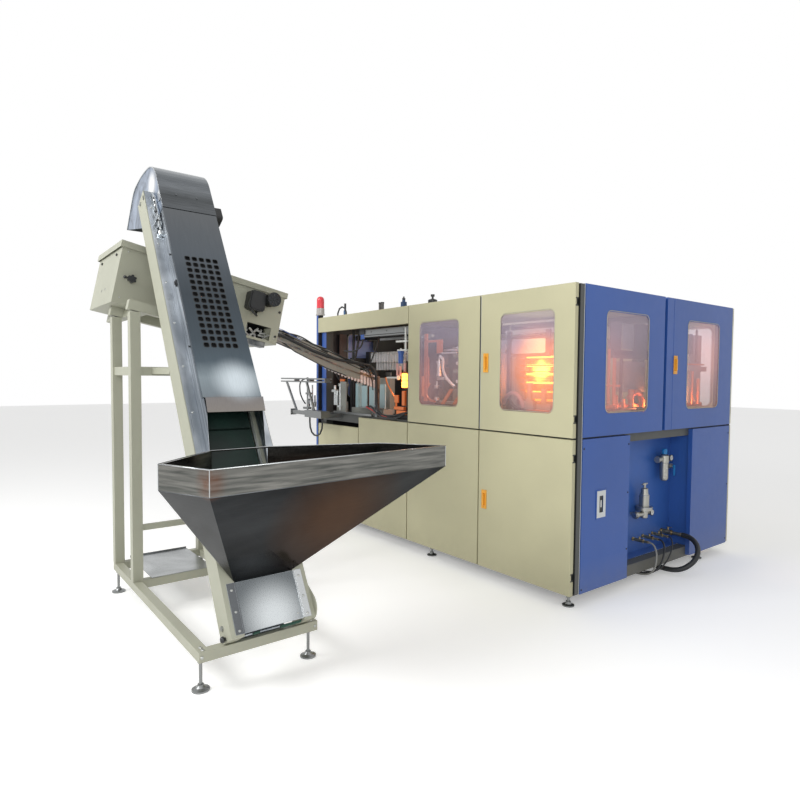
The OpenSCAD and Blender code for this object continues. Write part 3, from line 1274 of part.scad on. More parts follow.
module sorter_box() color(feeder_beige) at_corner() in_sorter() difference() {
    union() {
        difference() {
            box(-sorter_w, 0, 0, sorter_l, 0, sorter_h);
            box(-sorter_w + wall, -wall, wall, sorter_l - wall, wall, sorter_h + through);
        }
        // Folded top lip all round, open in the middle
        difference() {
            box(-sorter_w - 14, 14, -14, sorter_l + 14, sorter_h - 42, sorter_h);
            box(-sorter_w - 11, 11, -11, sorter_l + 11, sorter_h - 43, sorter_h - wall);
            box(-sorter_w + 40, -40, 40, sorter_l - 40, sorter_h - 50, sorter_h + through);
        }
        // Bearing blocks of the sorting rollers
        for (x = roller_xs, y = [wall, sorter_l - wall - 24])
            box(x - 30, x + 30, y - 0.5, y + 24.5, roller_z - 30, roller_z + 30);
        // Bearing block of the kicker
        box(-wall - 24, -wall + 0.5, kicker_y - 26, kicker_y + 26, kicker_z - 26, kicker_z + 26);
        box(-sorter_w + wall - 0.5, -sorter_w + wall + 24, kicker_y - 26, kicker_y + 26,
            kicker_z - 26, kicker_z + 26);
    }
    // Axle seats
    axle_bore = roller_axle_r + run_fit;
    for (x = roller_xs) translate([x, -through, roller_z]) rod_y(axle_bore, sorter_l + 2 * through);
    translate([-sorter_w - through, kicker_y, kicker_z]) rod_x(axle_bore, sorter_w + 2 * through);
    // Window in the front wall, and the mouth that lets the row of preforms out
    box(-wall - through, through, kicker_y - 14, kicker_y + 178, 18, 115);
    box(roller_mid - 36, roller_mid + 36, sorter_l - wall - through, sorter_l + through, 30, 240);
    // Knob's slot
    translate([-wall - through, 88, 174]) rod_x(5 + run_fit, wall + 2 * through);
}

roller_xs = [roller_mid - sort_pitch / 2, roller_mid + sort_pitch / 2];

module sorter_knob() color(black) at_corner() in_sorter() translate([weld, 88, 174]) {
    // Star grip: a disc with six lobes
    rotate([0, 90, 0]) {
        cylinder(r=13, h=14, $fn=48);
        translate([0, 0, 14 - weld]) linear_extrude(22) {
            circle(r=21, $fn=48);
            for (a = [0:60:300]) rotate(a) translate([20, 0]) circle(r=8, $fn=32);
        }
    }
    translate([-22, 0, 0]) rod_x(5, 23);
    // Small lever with its ball
    translate([22, -44, -5]) cube([8, 34, 10]);
    translate([26, -44, 0]) sphere(r=10, $fn=32);
}

module sorting_roller() {
    w = sorter_l - 2 * wall - 52;
    translate([0, wall + 26, 0]) rod_y(sort_roller_r, w);
    translate([0, 1, 0]) rod_y(roller_axle_r, sorter_l - 2);
}

module sorter_roller_a() color("#8D9092") at_corner() in_sorter()
    translate([roller_xs[0], 0, roller_z]) sorting_roller();
module sorter_roller_b() color("#8D9092") at_corner() in_sorter()
    translate([roller_xs[1], 0, roller_z]) sorting_roller();

// Wheel whose paddles knock back preforms lying across the row
module kicker_wheel() color("#303234") at_corner() in_sorter()
    translate([0, kicker_y, kicker_z]) {
        translate([-sorter_w + 1, 0, 0]) rod_x(roller_axle_r, sorter_w + 13);
        translate([roller_mid - 55, 0, 0]) rod_x(24, 110);
        for (a = [0:60:300]) rotate([a, 0, 0]) translate([roller_mid - 50, -2, 20])
            cube([100, 4, kicker_r - 20]);
    }

// Gearmotors of the kicker and the elevator
module rounded_block(w, h, r, t) rotate([90, 0, 90]) linear_extrude(t) {
    square([w - 2 * r, h], center=true);
    square([w, h - 2 * r], center=true);
    for (x = [-1, 1], y = [-1, 1]) translate([x * (w / 2 - r), y * (h / 2 - r)]) circle(r=r, $fn=32);
}

module kicker_drive() {
    // Gearbox with its cover, bolts and shaft bore
    difference() {
        union() {
            rounded_block(124, 142, 26, 84);
            translate([84 - weld, 0, 0]) rounded_block(104, 122, 22, 7);
            for (y = [-44, 44], z = [-52, 52]) translate([90, y, z]) rod_x(6, 5);
        }
        translate([-through, 0, 0]) rod_x(roller_axle_r + run_fit, 30);
    }
    // Motor with cooling fins and its slotted fan cover
    translate([8, 108, 38]) {
        rod_x(43, 96);
        for (i = [0:4]) translate([16 + i * 14, 0, 0]) rod_x(49, 6);
        translate([92, 0, 0]) difference() {
            rod_x(52, 24);
            for (a = [0:45:135]) rotate([a, 0, 0]) translate([20, -40, -3]) cube([10, 80, 6]);
        }
    }
}

module elevator_drive() {
    difference() {
        union() {
            rounded_block(96, 96, 16, 74);
            translate([74 - weld, 0, 0]) rod_x(34, 6);
        }
        translate([-through, 0, 0]) rod_x(axle_r + run_fit, 34);
    }
    translate([37, 48 - weld, 0]) {
        rod_y(34, 14);
        translate([0, 14, 0]) rod_y(40, 92);
        for (i = [0:4]) translate([0, 24 + i * 14, 0]) rod_y(46, 6);
        translate([0, 100, 0]) rod_y(48, 26);
    }
}

module sorter_motors() color("#3E4040") at_corner() {
    in_sorter() translate([weld, kicker_y, kicker_z]) kicker_drive();
    in_elevator() translate([0, way_y1 + stringer_w + weld, elevator_l]) rotate([0, 0, 90]) elevator_drive();
}

cabinet_frame();
levelling_feet();
roof_panels();
front_panels();
front_door_left();
front_window_left();
front_door_right();
front_window_right();
front_handle();
lower_door();
lower_handle();
end_door_left();
end_window_left();
end_door_right();
end_window_right();
end_handle();
end_panels();
niche_box();
rear_door_bay();
rear_window_bay();
rear_door_main();
rear_window_main();
rear_panels();
left_end_panels();
air_regulators();
air_manifold();
regulator_knob();
tee_handle();
valve_lever();
hose_main();
hose_grey();
hose_black();
hose_thin();
beacon();
roof_valves();
machine_bed();
oven_housing();
oven_lamps();
moving_platen();
stretch_carriage();
preform_chute();
preforms();
outfeed_rack();
bay_cables();
feeder_frame();
shelf_plate();
elevator_stringers();
elevator_casing();
elevator_cover();
elevator_hood();
elevator_belt();
head_roller();
tail_roller();
hopper();
sorter_box();
sorter_knob();
sorter_roller_a();
sorter_roller_b();
kicker_wheel();
sorter_motors();
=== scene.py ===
"""Looks of the blow moulding machine with its preform feeder.

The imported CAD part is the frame. Each of its nodes gets the finish of the real sheet, casting,
hose or belt, and trim that is too small for the CAD part rides on the same bodies.
"""

import math

import bmesh
import bpy
from mathutils import Matrix, Vector


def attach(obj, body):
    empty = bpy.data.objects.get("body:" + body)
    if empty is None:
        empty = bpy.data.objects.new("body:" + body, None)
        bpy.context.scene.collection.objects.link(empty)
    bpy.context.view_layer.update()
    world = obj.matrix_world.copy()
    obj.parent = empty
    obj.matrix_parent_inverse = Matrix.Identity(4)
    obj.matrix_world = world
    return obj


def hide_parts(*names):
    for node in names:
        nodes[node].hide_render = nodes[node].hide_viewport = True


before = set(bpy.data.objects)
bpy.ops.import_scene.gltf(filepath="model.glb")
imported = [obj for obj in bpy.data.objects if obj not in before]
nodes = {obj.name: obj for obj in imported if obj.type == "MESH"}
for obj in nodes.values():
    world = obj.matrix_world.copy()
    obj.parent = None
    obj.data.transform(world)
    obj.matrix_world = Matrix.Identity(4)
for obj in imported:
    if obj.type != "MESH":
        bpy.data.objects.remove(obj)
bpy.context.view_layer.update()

MM = 0.001
ALONG_X, ALONG_Y, UPWARD = Vector((1, 0, 0)), Vector((0, 1, 0)), Vector((0, 0, 1))
OUT_OF_FRONT = Vector((0, -1, 0))
OUT_OF_END = OUT_OF_SORTER = ALONG_X

# The drawing's corner is the near cabinet corner on the floor. The part's origin is the near
# levelling foot, which stands this far in from both faces.
FOOT_INSET = 74
CABINET_LENGTH, CABINET_DEPTH, CABINET_HEIGHT = 3235, 2210, 2100
SEAM_Z = 1107
BEACON_BASE_HEIGHT = 106

# Elevator: the tail roller's axis, the incline, and the cover's face above the side beams
TAIL_X, TAIL_Z = -442, 284
INCLINE = math.radians(59.3)
TO_INCLINE = (0, math.radians(90) - INCLINE, 0)
ELEVATOR_LENGTH = 2680
COVER_FACE = 208

HOPPER_BAND_Z = 987

# Pressure regulator in the niche
REGULATOR_Y = 1080

# Sorter box: its lower near corner and its slope
SORTER_CORNER = (-1900, -2277, 1963)
SORTER_TILT = math.radians(11.6)


def at(x, y, z):
    """A point of the drawing, in millimetres from the cabinet corner, in the part's metres."""
    return Vector(((x + FOOT_INSET) * MM, (y - FOOT_INSET) * MM, z * MM))


def on_elevator(n, y, u):
    """A point n out of the side beams' plane, y across and u up the incline."""
    return at(
        TAIL_X + n * math.sin(INCLINE) - u * math.cos(INCLINE),
        y,
        TAIL_Z + n * math.cos(INCLINE) + u * math.sin(INCLINE),
    )


def on_sorter(x, y, z):
    """A point in the tilted sorter box."""
    cos, sin = math.cos(SORTER_TILT), math.sin(SORTER_TILT)
    corner_x, corner_y, corner_z = SORTER_CORNER
    return at(corner_x + x, corner_y + y * cos + z * sin, corner_z - y * sin + z * cos)


UP_THE_INCLINE = Vector((-math.cos(INCLINE), 0, math.sin(INCLINE)))
OUT_OF_COVER = Vector((math.sin(INCLINE), 0, math.cos(INCLINE)))

# Camera

IMAGE_SIZE = 800
FOCAL_PIXELS = 598.35
CENTRE_PIXELS = (406.78, 402.94)
CAMERA_YAW, CAMERA_PITCH, CAMERA_ROLL = (math.radians(a) for a in (51.84, 2.56, 0.476))
CAMERA_PLACE = at(2313, -3168, 1500)


def stand_in_scene(name, data):
    """A new object of the scene that holds the data."""
    item = bpy.data.objects.new(name, data)
    bpy.context.scene.collection.objects.link(item)
    return item


def make_camera():
    """The photo's camera, as it was fitted to the cabinet's edges and feet."""
    data = bpy.data.cameras.new("camera")
    camera = stand_in_scene("camera", data)
    bpy.context.scene.camera = camera
    forward = Vector((
        -math.sin(CAMERA_YAW) * math.cos(CAMERA_PITCH),
        math.cos(CAMERA_YAW) * math.cos(CAMERA_PITCH),
        -math.sin(CAMERA_PITCH),
    ))
    level = Vector((math.cos(CAMERA_YAW), math.sin(CAMERA_YAW), 0))
    up = level.cross(forward)
    right = level * math.cos(CAMERA_ROLL) + up * math.sin(CAMERA_ROLL)
    top = up * math.cos(CAMERA_ROLL) - level * math.sin(CAMERA_ROLL)
    turned = Matrix((right, top, -forward)).transposed().to_4x4()
    camera.matrix_world = Matrix.Translation(CAMERA_PLACE) @ turned
    data.sensor_width = 36
    data.lens = data.sensor_width * FOCAL_PIXELS / IMAGE_SIZE
    data.shift_x = (IMAGE_SIZE / 2 - CENTRE_PIXELS[0]) / IMAGE_SIZE
    data.shift_y = (CENTRE_PIXELS[1] - IMAGE_SIZE / 2) / IMAGE_SIZE
    data.clip_end = 100


make_camera()

# Finishes. A pattern's scale is in repeats per metre.


def linear(hex_colour):
    """Linear RGBA of an sRGB hex colour."""
    channels = [int(hex_colour[i : i + 2], 16) / 255 for i in (1, 3, 5)]
    return tuple(c / 12.92 if c < 0.04045 else ((c + 0.055) / 1.055) ** 2.4 for c in channels) + (1,)


def add(tree, kind, settings=None, links=None, output=None):
    """Adds a shader node, sets its properties, colour stops or unlinked inputs, and links its
    other inputs. Returns the named output, or else the node's first one in use."""
    node = tree.nodes.new("ShaderNode" + kind)
    for name, value in (settings or {}).items():
        if name == "stops":
            elements = node.color_ramp.elements
            while len(elements) < len(value):
                elements.new(0.5)
            for element, (position, colour) in zip(elements, value):
                element.position, element.color = position, linear(colour)
        elif isinstance(name, int) or name in node.inputs:
            node.inputs[name].default_value = value
        else:
            setattr(getattr(node, "color_ramp", node), name, value)
    for name, source in (links or {}).items():
        tree.links.new(source, node.inputs[name])
    return node.outputs[output] if output else next((o for o in node.outputs if o.enabled), None)


def new_finish(name, colour, **sockets):
    """A material with one Principled shader. Returns the material, its tree and the shader."""
    material = bpy.data.materials.new(name)
    material.use_nodes = True
    tree = material.node_tree
    shader = tree.nodes["Principled BSDF"]
    shader.inputs["Base Color"].default_value = linear(colour)
    for socket, value in sockets.items():
        shader.inputs[socket.replace("_", " ")].default_value = value
    return material, tree, shader


def feed(shader, **sources):
    """Links outputs to the shader's inputs."""
    for socket, source in sources.items():
        shader.id_data.links.new(source, shader.inputs[socket.replace("_", " ")])


def place_of(tree, rotation=(0, 0, 0), scale=(1, 1, 1)):
    """The part's own coordinates in metres, turned and then stretched for a pattern."""
    place = add(tree, "TexCoord", output="Object")
    turned = add(tree, "Mapping", {"Rotation": rotation}, {"Vector": place})
    return add(tree, "VectorMath", {"operation": "MULTIPLY", 1: scale}, {0: turned})


def distance_from(tree, spot):
    """Distance in metres from a point of the part."""
    place = add(tree, "TexCoord", output="Object")
    return add(tree, "VectorMath", {"operation": "DISTANCE", 1: spot}, {0: place})


def patch_round(tree, spot, near, far, strong, weak=0.0):
    """A soft round patch about a point of the part: strong as far as near, and weak from far
    on."""
    falling = {"interpolation_type": "SMOOTHSTEP", "From Min": near, "From Max": far,
               "To Min": strong, "To Max": weak}
    return add(tree, "MapRange", falling, {"Value": distance_from(tree, spot)})


def toned(tree, colour, pattern, low, high, first=0, last=1):
    """The colour made darker and lighter by a pattern."""
    tone = add(
        tree,
        "MapRange",
        {"From Min": first, "From Max": last, "To Min": low, "To Max": high},
        {"Value": pattern},
    )
    return add(tree, "HueSaturation", {"Color": linear(colour)}, {"Value": tone})


def streaked(tree, colour, lines, low, high):
    """A colour that is itself a pattern, made darker and lighter by grinding lines."""
    tone = add(tree, "MapRange", {"To Min": low, "To Max": high}, {"Value": lines})
    multiplied = {"data_type": "RGBA", "blend_type": "MULTIPLY", 0: 1.0}
    return add(tree, "Mix", multiplied, {6: colour, 7: tone})


def ground_lines(tree, shader, roughness, direction_scale, rotation=(0, 0, 0), strength=0.25):
    """Fine grinding lines in roughness and bump. They are drawn 3 to 4 mm wide, wider than
    real ones, so that they show."""
    fine = place_of(tree, rotation, direction_scale)
    lines = add(tree, "TexNoise", {"Scale": 1.0, "Detail": 3}, {"Vector": fine})
    sheens = {"To Min": roughness * 0.6, "To Max": roughness * 1.4}
    sheen = add(tree, "MapRange", sheens, {"Value": lines})
    bump = add(tree, "Bump", {"Strength": strength, "Distance": 0.6 * MM}, {"Height": lines})
    feed(shader, Roughness=sheen, Normal=bump)
    return lines


def tones_along(tree, direction, start, length, stops, noise_scale, wander):
    """A colour that changes along a direction, in soft uneven bands. stops are (millimetres
    from start, hex colour)."""
    place = add(tree, "TexCoord", output="Object")
    along = add(tree, "VectorMath", {"operation": "DOT_PRODUCT", 1: direction}, {0: place})
    bend = add(
        tree, "TexNoise", {"Scale": noise_scale, "Detail": 3, "Distortion": 0.8}, {"Vector": place}
    )
    shifted = add(tree, "Math", {"operation": "MULTIPLY_ADD", 1: wander * MM}, {0: bend, 2: along})
    first = start.dot(direction) + wander * MM * 0.5
    spread = add(
        tree, "MapRange", {"From Min": first, "From Max": first + length * MM}, {"Value": shifted}
    )
    shares = [(distance / length, colour) for distance, colour in stops]
    return add(tree, "ValToRGB", {"stops": shares}, {"Fac": spread})


def powder_coat(name, colour, dusty="#8A8470", roughness=0.42):
    """Baked powder coat on sheet steel: satin, with orange peel, faint mottling and some
    floor dust on its lowest 30 cm. The peel is drawn at 6 mm, coarser than the real 2 mm, so
    that it shows."""
    material, tree, shader = new_finish(name, colour, IOR=1.5)
    place = place_of(tree)
    patches = add(tree, "TexNoise", {"Scale": 1.7, "Detail": 4}, {"Vector": place})
    coat = toned(tree, colour, patches, 0.94, 1.06, 0.3, 0.7)
    height = add(tree, "SeparateXYZ", {}, {"Vector": place}, "Z")
    low = add(
        tree,
        "MapRange",
        {"From Min": 0.05, "From Max": 0.30, "To Min": 0.45, "To Max": 0},
        {"Value": height},
    )
    specks = add(tree, "TexNoise", {"Scale": 14, "Detail": 6}, {"Vector": place})
    dust = add(tree, "Math", {"operation": "MULTIPLY"}, {0: low, 1: specks})
    dusted = add(tree, "Mix", {"data_type": "RGBA", 7: linear(dusty)}, {0: dust, 6: coat})
    sheens = {"To Min": roughness - 0.07, "To Max": roughness + 0.09}
    sheen = add(tree, "MapRange", sheens, {"Value": specks})
    peel = add(tree, "TexNoise", {"Scale": 1 / (6 * MM), "Detail": 2}, {"Vector": place})
    bump = add(tree, "Bump", {"Strength": 0.12, "Distance": 0.6 * MM}, {"Height": peel})
    feed(shader, Base_Color=dusted, Roughness=sheen, Normal=bump)
    return material


def dark_inside(material, colour):
    """The same panel with its inner face left in dark primer."""
    tree = material.node_tree
    shader = tree.nodes["Principled BSDF"]
    outside = shader.inputs["Base Color"].links[0].from_socket
    normal = add(tree, "NewGeometry", output="True Normal")
    facing_in = add(tree, "SeparateXYZ", {}, {"Vector": normal}, "X")
    inner = add(tree, "Math", {"operation": "GREATER_THAN", 1: 0.5}, {0: facing_in})
    both = add(tree, "Mix", {"data_type": "RGBA", 7: linear(colour)}, {0: inner, 6: outside})
    feed(shader, Base_Color=both)
    return material


def sheet_stainless(name, bright, dark, roughness, bands, rotation=(0, 0, 0), grain=(1, 1, 40),
                    stretch=(1, 1, 1)):
    """Stainless sheet. Cold-rolled sheet is never flat: broad soft waves bend its surface, and the
    bands of light and dark they reflect are painted into its colour as painted reflections. Fine
    grinding lines run along it. The lines are drawn 4 mm wide, wider than real ones, so that they show."""
    material, tree, shader = new_finish(name, bright, Metallic=1.0)
    place = place_of(tree, rotation, stretch)
    waves = add(
        tree, "TexNoise", {"Scale": bands, "Detail": 3, "Distortion": 1.4}, {"Vector": place}
    )
    tones = add(tree, "ValToRGB", {"stops": [(0.34, dark), (0.66, bright)]}, {"Fac": waves})
    fine = place_of(tree, rotation, tuple(250 / g for g in grain))
    lines = add(tree, "TexNoise", {"Scale": 1.0, "Detail": 3}, {"Vector": fine})
    sheens = {"To Min": roughness * 0.7, "To Max": roughness * 1.3}
    sheen = add(tree, "MapRange", sheens, {"Value": lines})
    uneven = add(tree, "Math", {"operation": "MULTIPLY_ADD", 1: 0.04}, {0: lines, 2: waves})
    bump = add(tree, "Bump", {"Strength": 0.25, "Distance": 12 * MM}, {"Height": uneven})
    feed(shader, Base_Color=tones, Roughness=sheen, Normal=bump)
    return material


def plain_metal(name, colour, roughness, grain_mm=8, spread=0.1, metallic=1.0, depth=0.4 * MM):
    """Turned, cast or extruded metal: an even colour with a grain of the process on it. The
    grain is drawn some millimetres wide, coarser than the real one, so that it shows."""
    material, tree, shader = new_finish(name, colour, Metallic=metallic)
    size = {"Scale": 1 / (grain_mm * MM), "Detail": 4}
    grain = add(tree, "TexNoise", size, {"Vector": place_of(tree)})
    tone = toned(tree, colour, grain, 1 - spread, 1 + spread)
    sheens = {"To Min": roughness - 0.08, "To Max": roughness + 0.08}
    sheen = add(tree, "MapRange", sheens, {"Value": grain})
    bump = add(tree, "Bump", {"Strength": 0.3, "Distance": depth}, {"Height": grain})
    feed(shader, Base_Color=tone, Roughness=sheen, Normal=bump)
    return material


def moulded(name, colour, roughness=0.4, grain_mm=5, spread=0.06, **sockets):
    """Moulded plastic or rubber: even colour with a fine pebble and scuffed patches. The
    pebble is drawn at 4 to 7 mm, coarser than the real one, so that it shows."""
    material, tree, shader = new_finish(name, colour, IOR=1.5, **sockets)
    place = place_of(tree)
    size = {"Scale": 1 / (grain_mm * MM), "Detail": 3}
    pebble = add(tree, "TexNoise", size, {"Vector": place})
    scuffs = add(tree, "TexNoise", {"Scale": 22, "Detail": 5}, {"Vector": place})
    tone = toned(tree, colour, scuffs, 1 - spread, 1 + 2 * spread)
    sheens = {"To Min": roughness - 0.08, "To Max": roughness + 0.1}
    sheen = add(tree, "MapRange", sheens, {"Value": scuffs})
    bump = add(tree, "Bump", {"Strength": 0.2, "Distance": 0.5 * MM}, {"Height": pebble})
    feed(shader, Base_Color=tone, Roughness=sheen, Normal=bump)
    return material


# Lit spots in the windows: the place, where the glow starts and ends, and its strength
WINDOW_GLOWS = [
    (at(-290, 0, 1540), 0.03, 0.42, 1.5), (at(-1620, 0, 1400), 0.1, 0.5, 0.45),
    (at(-480, 0, 1800), 0.05, 0.5, 0.24), (at(0, 300, 1420), 0.1, 0.6, 0.42),
    (at(0, 1960, 1500), 0.1, 0.7, 0.2), (at(0, 1640, 1620), 0.1, 0.5, 0.24),
    (at(0, 1740, 1860), 0.05, 0.5, 0.26), (at(0, 560, 1800), 0.1, 0.5, 0.16),
]


def smoked_pane(name, tint_strength):
    """Smoked clear sheet of a guard window. The tint goes from lilac at the top, a painted
    reflection of the bright surroundings, to warm brown lower down, painted light of the heater
    caught in it. The lit spots glow in the pane as painted light."""
    material, tree, shader = new_finish(
        name, "#8E7F86", IOR=1.49, Alpha=tint_strength, Roughness=0.06
    )
    place = place_of(tree)
    height = add(tree, "SeparateXYZ", {}, {"Vector": place}, "Z")
    fade = add(tree, "MapRange", {"From Min": 1.26, "From Max": 1.94}, {"Value": height})
    haze = add(tree, "TexNoise", {"Scale": 2.5, "Detail": 3}, {"Vector": place})
    mixed = add(tree, "Math", {"operation": "MULTIPLY_ADD", 1: 0.35}, {0: haze, 2: fade})
    tint = add(tree, "ValToRGB", {"stops": [(0.1, "#A88A7C"), (1.0, "#C6BCCB")]}, {"Fac": mixed})
    glow = None
    for spot, near, far, strong in WINDOW_GLOWS:
        level = patch_round(tree, spot, near, far, strong)
        glow = add(tree, "Math", {"operation": "ADD"}, {0: glow, 1: level}) if glow else level
    warm = add(tree, "ValToRGB", {"stops": [(0.25, "#B58A9C"), (1.0, "#FF7F22")]}, {"Fac": glow})
    feed(shader, Base_Color=tint, Emission_Color=warm, Emission_Strength=glow)
    return material


def clear_pet():
    """Injection-moulded clear PET: bright edges and a slight grey body, warm at the end of the
    chute, where the oven's light falls on it."""
    material, tree, shader = new_finish(
        "clear_pet", "#C9CED2", IOR=1.57, Roughness=0.08, Alpha=0.5, Emission_Color=linear("#FFB48C")
    )
    caught = patch_round(tree, at(-2200, -150, 1470), 0.05, 0.45, 0.2)
    flow = add(tree, "TexNoise", {"Scale": 60, "Detail": 2}, {"Vector": place_of(tree)})
    bump = add(tree, "Bump", {"Strength": 0.2, "Distance": 0.6 * MM}, {"Height": flow})
    feed(shader, Emission_Strength=caught, Normal=bump)
    return material


HEAT_CENTRE = at(-655, 450, 1552)


def glowing_lamp(name, axis, strength):
    """Halogen heater tube at work: its coil glows yellow-white with orange between the turns,
    hottest in the heated zone. The turns are drawn 12 mm apart, wider than real ones, so that
    they show."""
    material, tree, shader = new_finish(
        name, "#FFB060", Roughness=0.2, Emission_Strength=strength
    )
    bands = {"wave_type": "BANDS", "bands_direction": axis, "Scale": 26, "Distortion": 0}
    coil = add(tree, "TexWave", bands, {"Vector": place_of(tree)}, "Fac")
    tint = add(tree, "ValToRGB", {"stops": [(0, "#FF6A10"), (1, "#FFC050")]}, {"Fac": coil})
    feed(shader, Emission_Color=tint)
    if axis == "X":
        level = patch_round(tree, HEAT_CENTRE, 0.05, 0.3, strength, 0.5)
        feed(shader, Emission_Strength=level)
    return material


def heat_shield():
    """Quartz shield behind the lamps, with the lamps' light painted on it as a glow: yellow-white
    at the heated zone, orange to dark red round it."""
    material, tree, shader = new_finish("quartz_heat_shield", "#2A1A14", Roughness=0.3)
    blotch = add(tree, "TexNoise", {"Scale": 16, "Detail": 4}, {"Vector": place_of(tree)})
    distance = add(
        tree,
        "Math",
        {"operation": "MULTIPLY_ADD", 1: 0.10},
        {0: blotch, 2: distance_from(tree, HEAT_CENTRE)},
    )
    spread = add(tree, "MapRange", {"From Min": 0.06, "From Max": 0.30}, {"Value": distance})
    stops = [(0.1, "#FFD850"), (0.42, "#FF7A14"), (1.0, "#551C08")]
    tint = add(tree, "ValToRGB", {"stops": stops}, {"Fac": spread})
    falling = {"interpolation_type": "SMOOTHSTEP", "From Min": 0.07, "From Max": 0.2,
               "To Min": 5.0, "To Max": 0.2}
    level = add(tree, "MapRange", falling, {"Value": distance})
    feed(shader, Emission_Color=tint, Emission_Strength=level)
    return material


def lit_reflector():
    """Pane of the oven's front: grey-lilac at its left, lit to pale yellow at its right."""
    material, tree, shader = new_finish(
        "lit_oven_pane", "#8F8792", Roughness=0.25, Emission_Strength=0.55
    )
    place = place_of(tree)
    across = add(tree, "SeparateXYZ", {}, {"Vector": place}, "X")
    ends = {"From Min": at(-722, 0, 0).x, "From Max": at(-402, 0, 0).x}
    lit = add(tree, "MapRange", ends, {"Value": across})
    haze = add(tree, "TexNoise", {"Scale": 9, "Detail": 3}, {"Vector": place})
    uneven = add(tree, "Math", {"operation": "MULTIPLY_ADD", 1: 0.3}, {0: haze, 2: lit})
    tint = add(tree, "ValToRGB", {"stops": [(0.35, "#8D8A98"), (0.95, "#FFE9B8")]}, {"Fac": uneven})
    feed(shader, Base_Color=tint, Emission_Color=tint)
    return material


def boot_plate_finish():
    """Satin stainless plate with a painted highlight low in its middle and painted shade towards
    its edges.
    """
    material, tree, shader = new_finish("satin_boot_plate", "#A9ACAD", Metallic=1.0)
    level = patch_round(tree, on_elevator(87, -1880, -10), 0.02, 0.22, 1.0)
    shaded_edges_and_highlight = {"data_type": "RGBA", 6: linear("#6E7376"), 7: linear("#D5DADC")}
    tint = add(tree, "Mix", shaded_edges_and_highlight, {0: level})
    lines = ground_lines(tree, shader, 0.3, (8, 250, 250), TO_INCLINE)
    feed(shader, Base_Color=streaked(tree, tint, lines, 0.9, 1.1))
    return material


def roof_fittings_finish():
    """Fittings on the roof, left to right: clear blue cylinder, dark twin silencers, dark blue
    pilot valve and a black relief valve. What stands highest has a black cap."""
    material, tree, shader = new_finish("roof_fittings", "#3A3D40", Roughness=0.3, IOR=1.5)
    place = place_of(tree)
    across = add(tree, "SeparateXYZ", {}, {"Vector": place}, "X")
    height = add(tree, "SeparateXYZ", {}, {"Vector": place}, "Z")
    ends = {"From Min": at(-CABINET_LENGTH, 0, 0).x, "From Max": 0}
    spread = add(tree, "MapRange", ends, {"Value": across})
    starts = [(-2700, "#4A4745"), (-2200, "#123A66"), (-1850, "#1D1D1E")]
    stops = [(0, "#35618F")] + [(1 + x / CABINET_LENGTH, colour) for x, colour in starts]
    tones = add(
        tree, "ValToRGB", {"interpolation": "CONSTANT", "stops": stops}, {"Fac": spread}
    )
    above_cap = {"operation": "GREATER_THAN", 1: (CABINET_HEIGHT + 95) * MM}
    cap = add(tree, "Math", above_cap, {0: height})
    capped = add(tree, "Mix", {"data_type": "RGBA", 7: linear("#15171A")}, {0: cap, 6: tones})
    grain = add(tree, "TexNoise", {"Scale": 120, "Detail": 3}, {"Vector": place})
    feed(shader, Base_Color=streaked(tree, capped, grain, 0.8, 1.3))
    return material


def beacon_finish():
    """One moulded beacon: red translucent dome with ribs round it, above a grey base."""
    material, tree, shader = new_finish(
        "beacon_dome_and_base", "#E83040", IOR=1.49, Roughness=0.16
    )
    place = place_of(tree)
    height = add(tree, "SeparateXYZ", {}, {"Vector": place}, "Z")
    above_base = {"operation": "GREATER_THAN", 1: (CABINET_HEIGHT + BEACON_BASE_HEIGHT) * MM}
    above = add(tree, "Math", above_base, {0: height})
    bands = {"wave_type": "BANDS", "bands_direction": "Z", "Scale": 30}
    ribs = add(tree, "TexWave", bands, {"Vector": place}, "Fac")
    reds = {"data_type": "RGBA", 6: linear("#D81F31"), 7: linear("#FF5A63")}
    dome = add(tree, "Mix", reds, {0: ribs})
    both = add(tree, "Mix", {"data_type": "RGBA", 6: linear("#B9B4B0")}, {0: above, 7: dome})
    feed(shader, Base_Color=both)
    return material


def belt_pvc():
    """Green PVC conveyor belt: matt, with the weave of its carcass pressed through. The weave
    is drawn at 6 mm, wider than the real 1.5 mm, so that it shows."""
    material, tree, shader = new_finish("belt_pvc_green", "#14382F", IOR=1.5, Roughness=0.55)
    place = place_of(tree, TO_INCLINE)
    weave = add(tree, "TexChecker", {"Scale": 160}, {"Vector": place}, "Fac")
    wear = add(tree, "TexNoise", {"Scale": 5, "Detail": 6}, {"Vector": place})
    tint = add(tree, "ValToRGB", {"stops": [(0.3, "#051814"), (0.8, "#10342B")]}, {"Fac": wear})
    bump = add(tree, "Bump", {"Strength": 0.3, "Distance": 0.8 * MM}, {"Height": weave})
    feed(shader, Base_Color=tint, Normal=bump)
    return material


def cover_stainless():
    """Bright-rolled stainless of the elevator's cover. It leans over the hopper, so its colour is
    painted dark and bluish in its middle as a dark reflection, with a painted highlight near its
    foot, and satin lines run up its length."""
    material, tree, shader = new_finish("bright_stainless_cover", "#8A8F94", Metallic=1.0)
    stops = [(0, "#8C8680"), (90, "#858180"), (130, "#7E878D"), (240, "#8B969C"),
             (330, "#59646C"), (480, "#4E575E"), (800, "#495056"), (1100, "#5C6268"),
             (1400, "#66696C"), (1750, "#6C6E70")]
    colour = tones_along(tree, UP_THE_INCLINE, on_elevator(0, 0, 1035), 1800, stops, 3, 130)
    # Painted highlight near the cover's foot
    patch = patch_round(tree, on_elevator(COVER_FACE, -1850, 1250), 0.02, 0.17, 1.0)
    lit = add(tree, "Mix", {"data_type": "RGBA", 7: linear("#D2DCE2")}, {0: patch, 6: colour})
    lines = ground_lines(tree, shader, 0.17, (250, 250, 8), TO_INCLINE)
    feed(shader, Base_Color=streaked(tree, lit, lines, 0.86, 1.12))
    return material


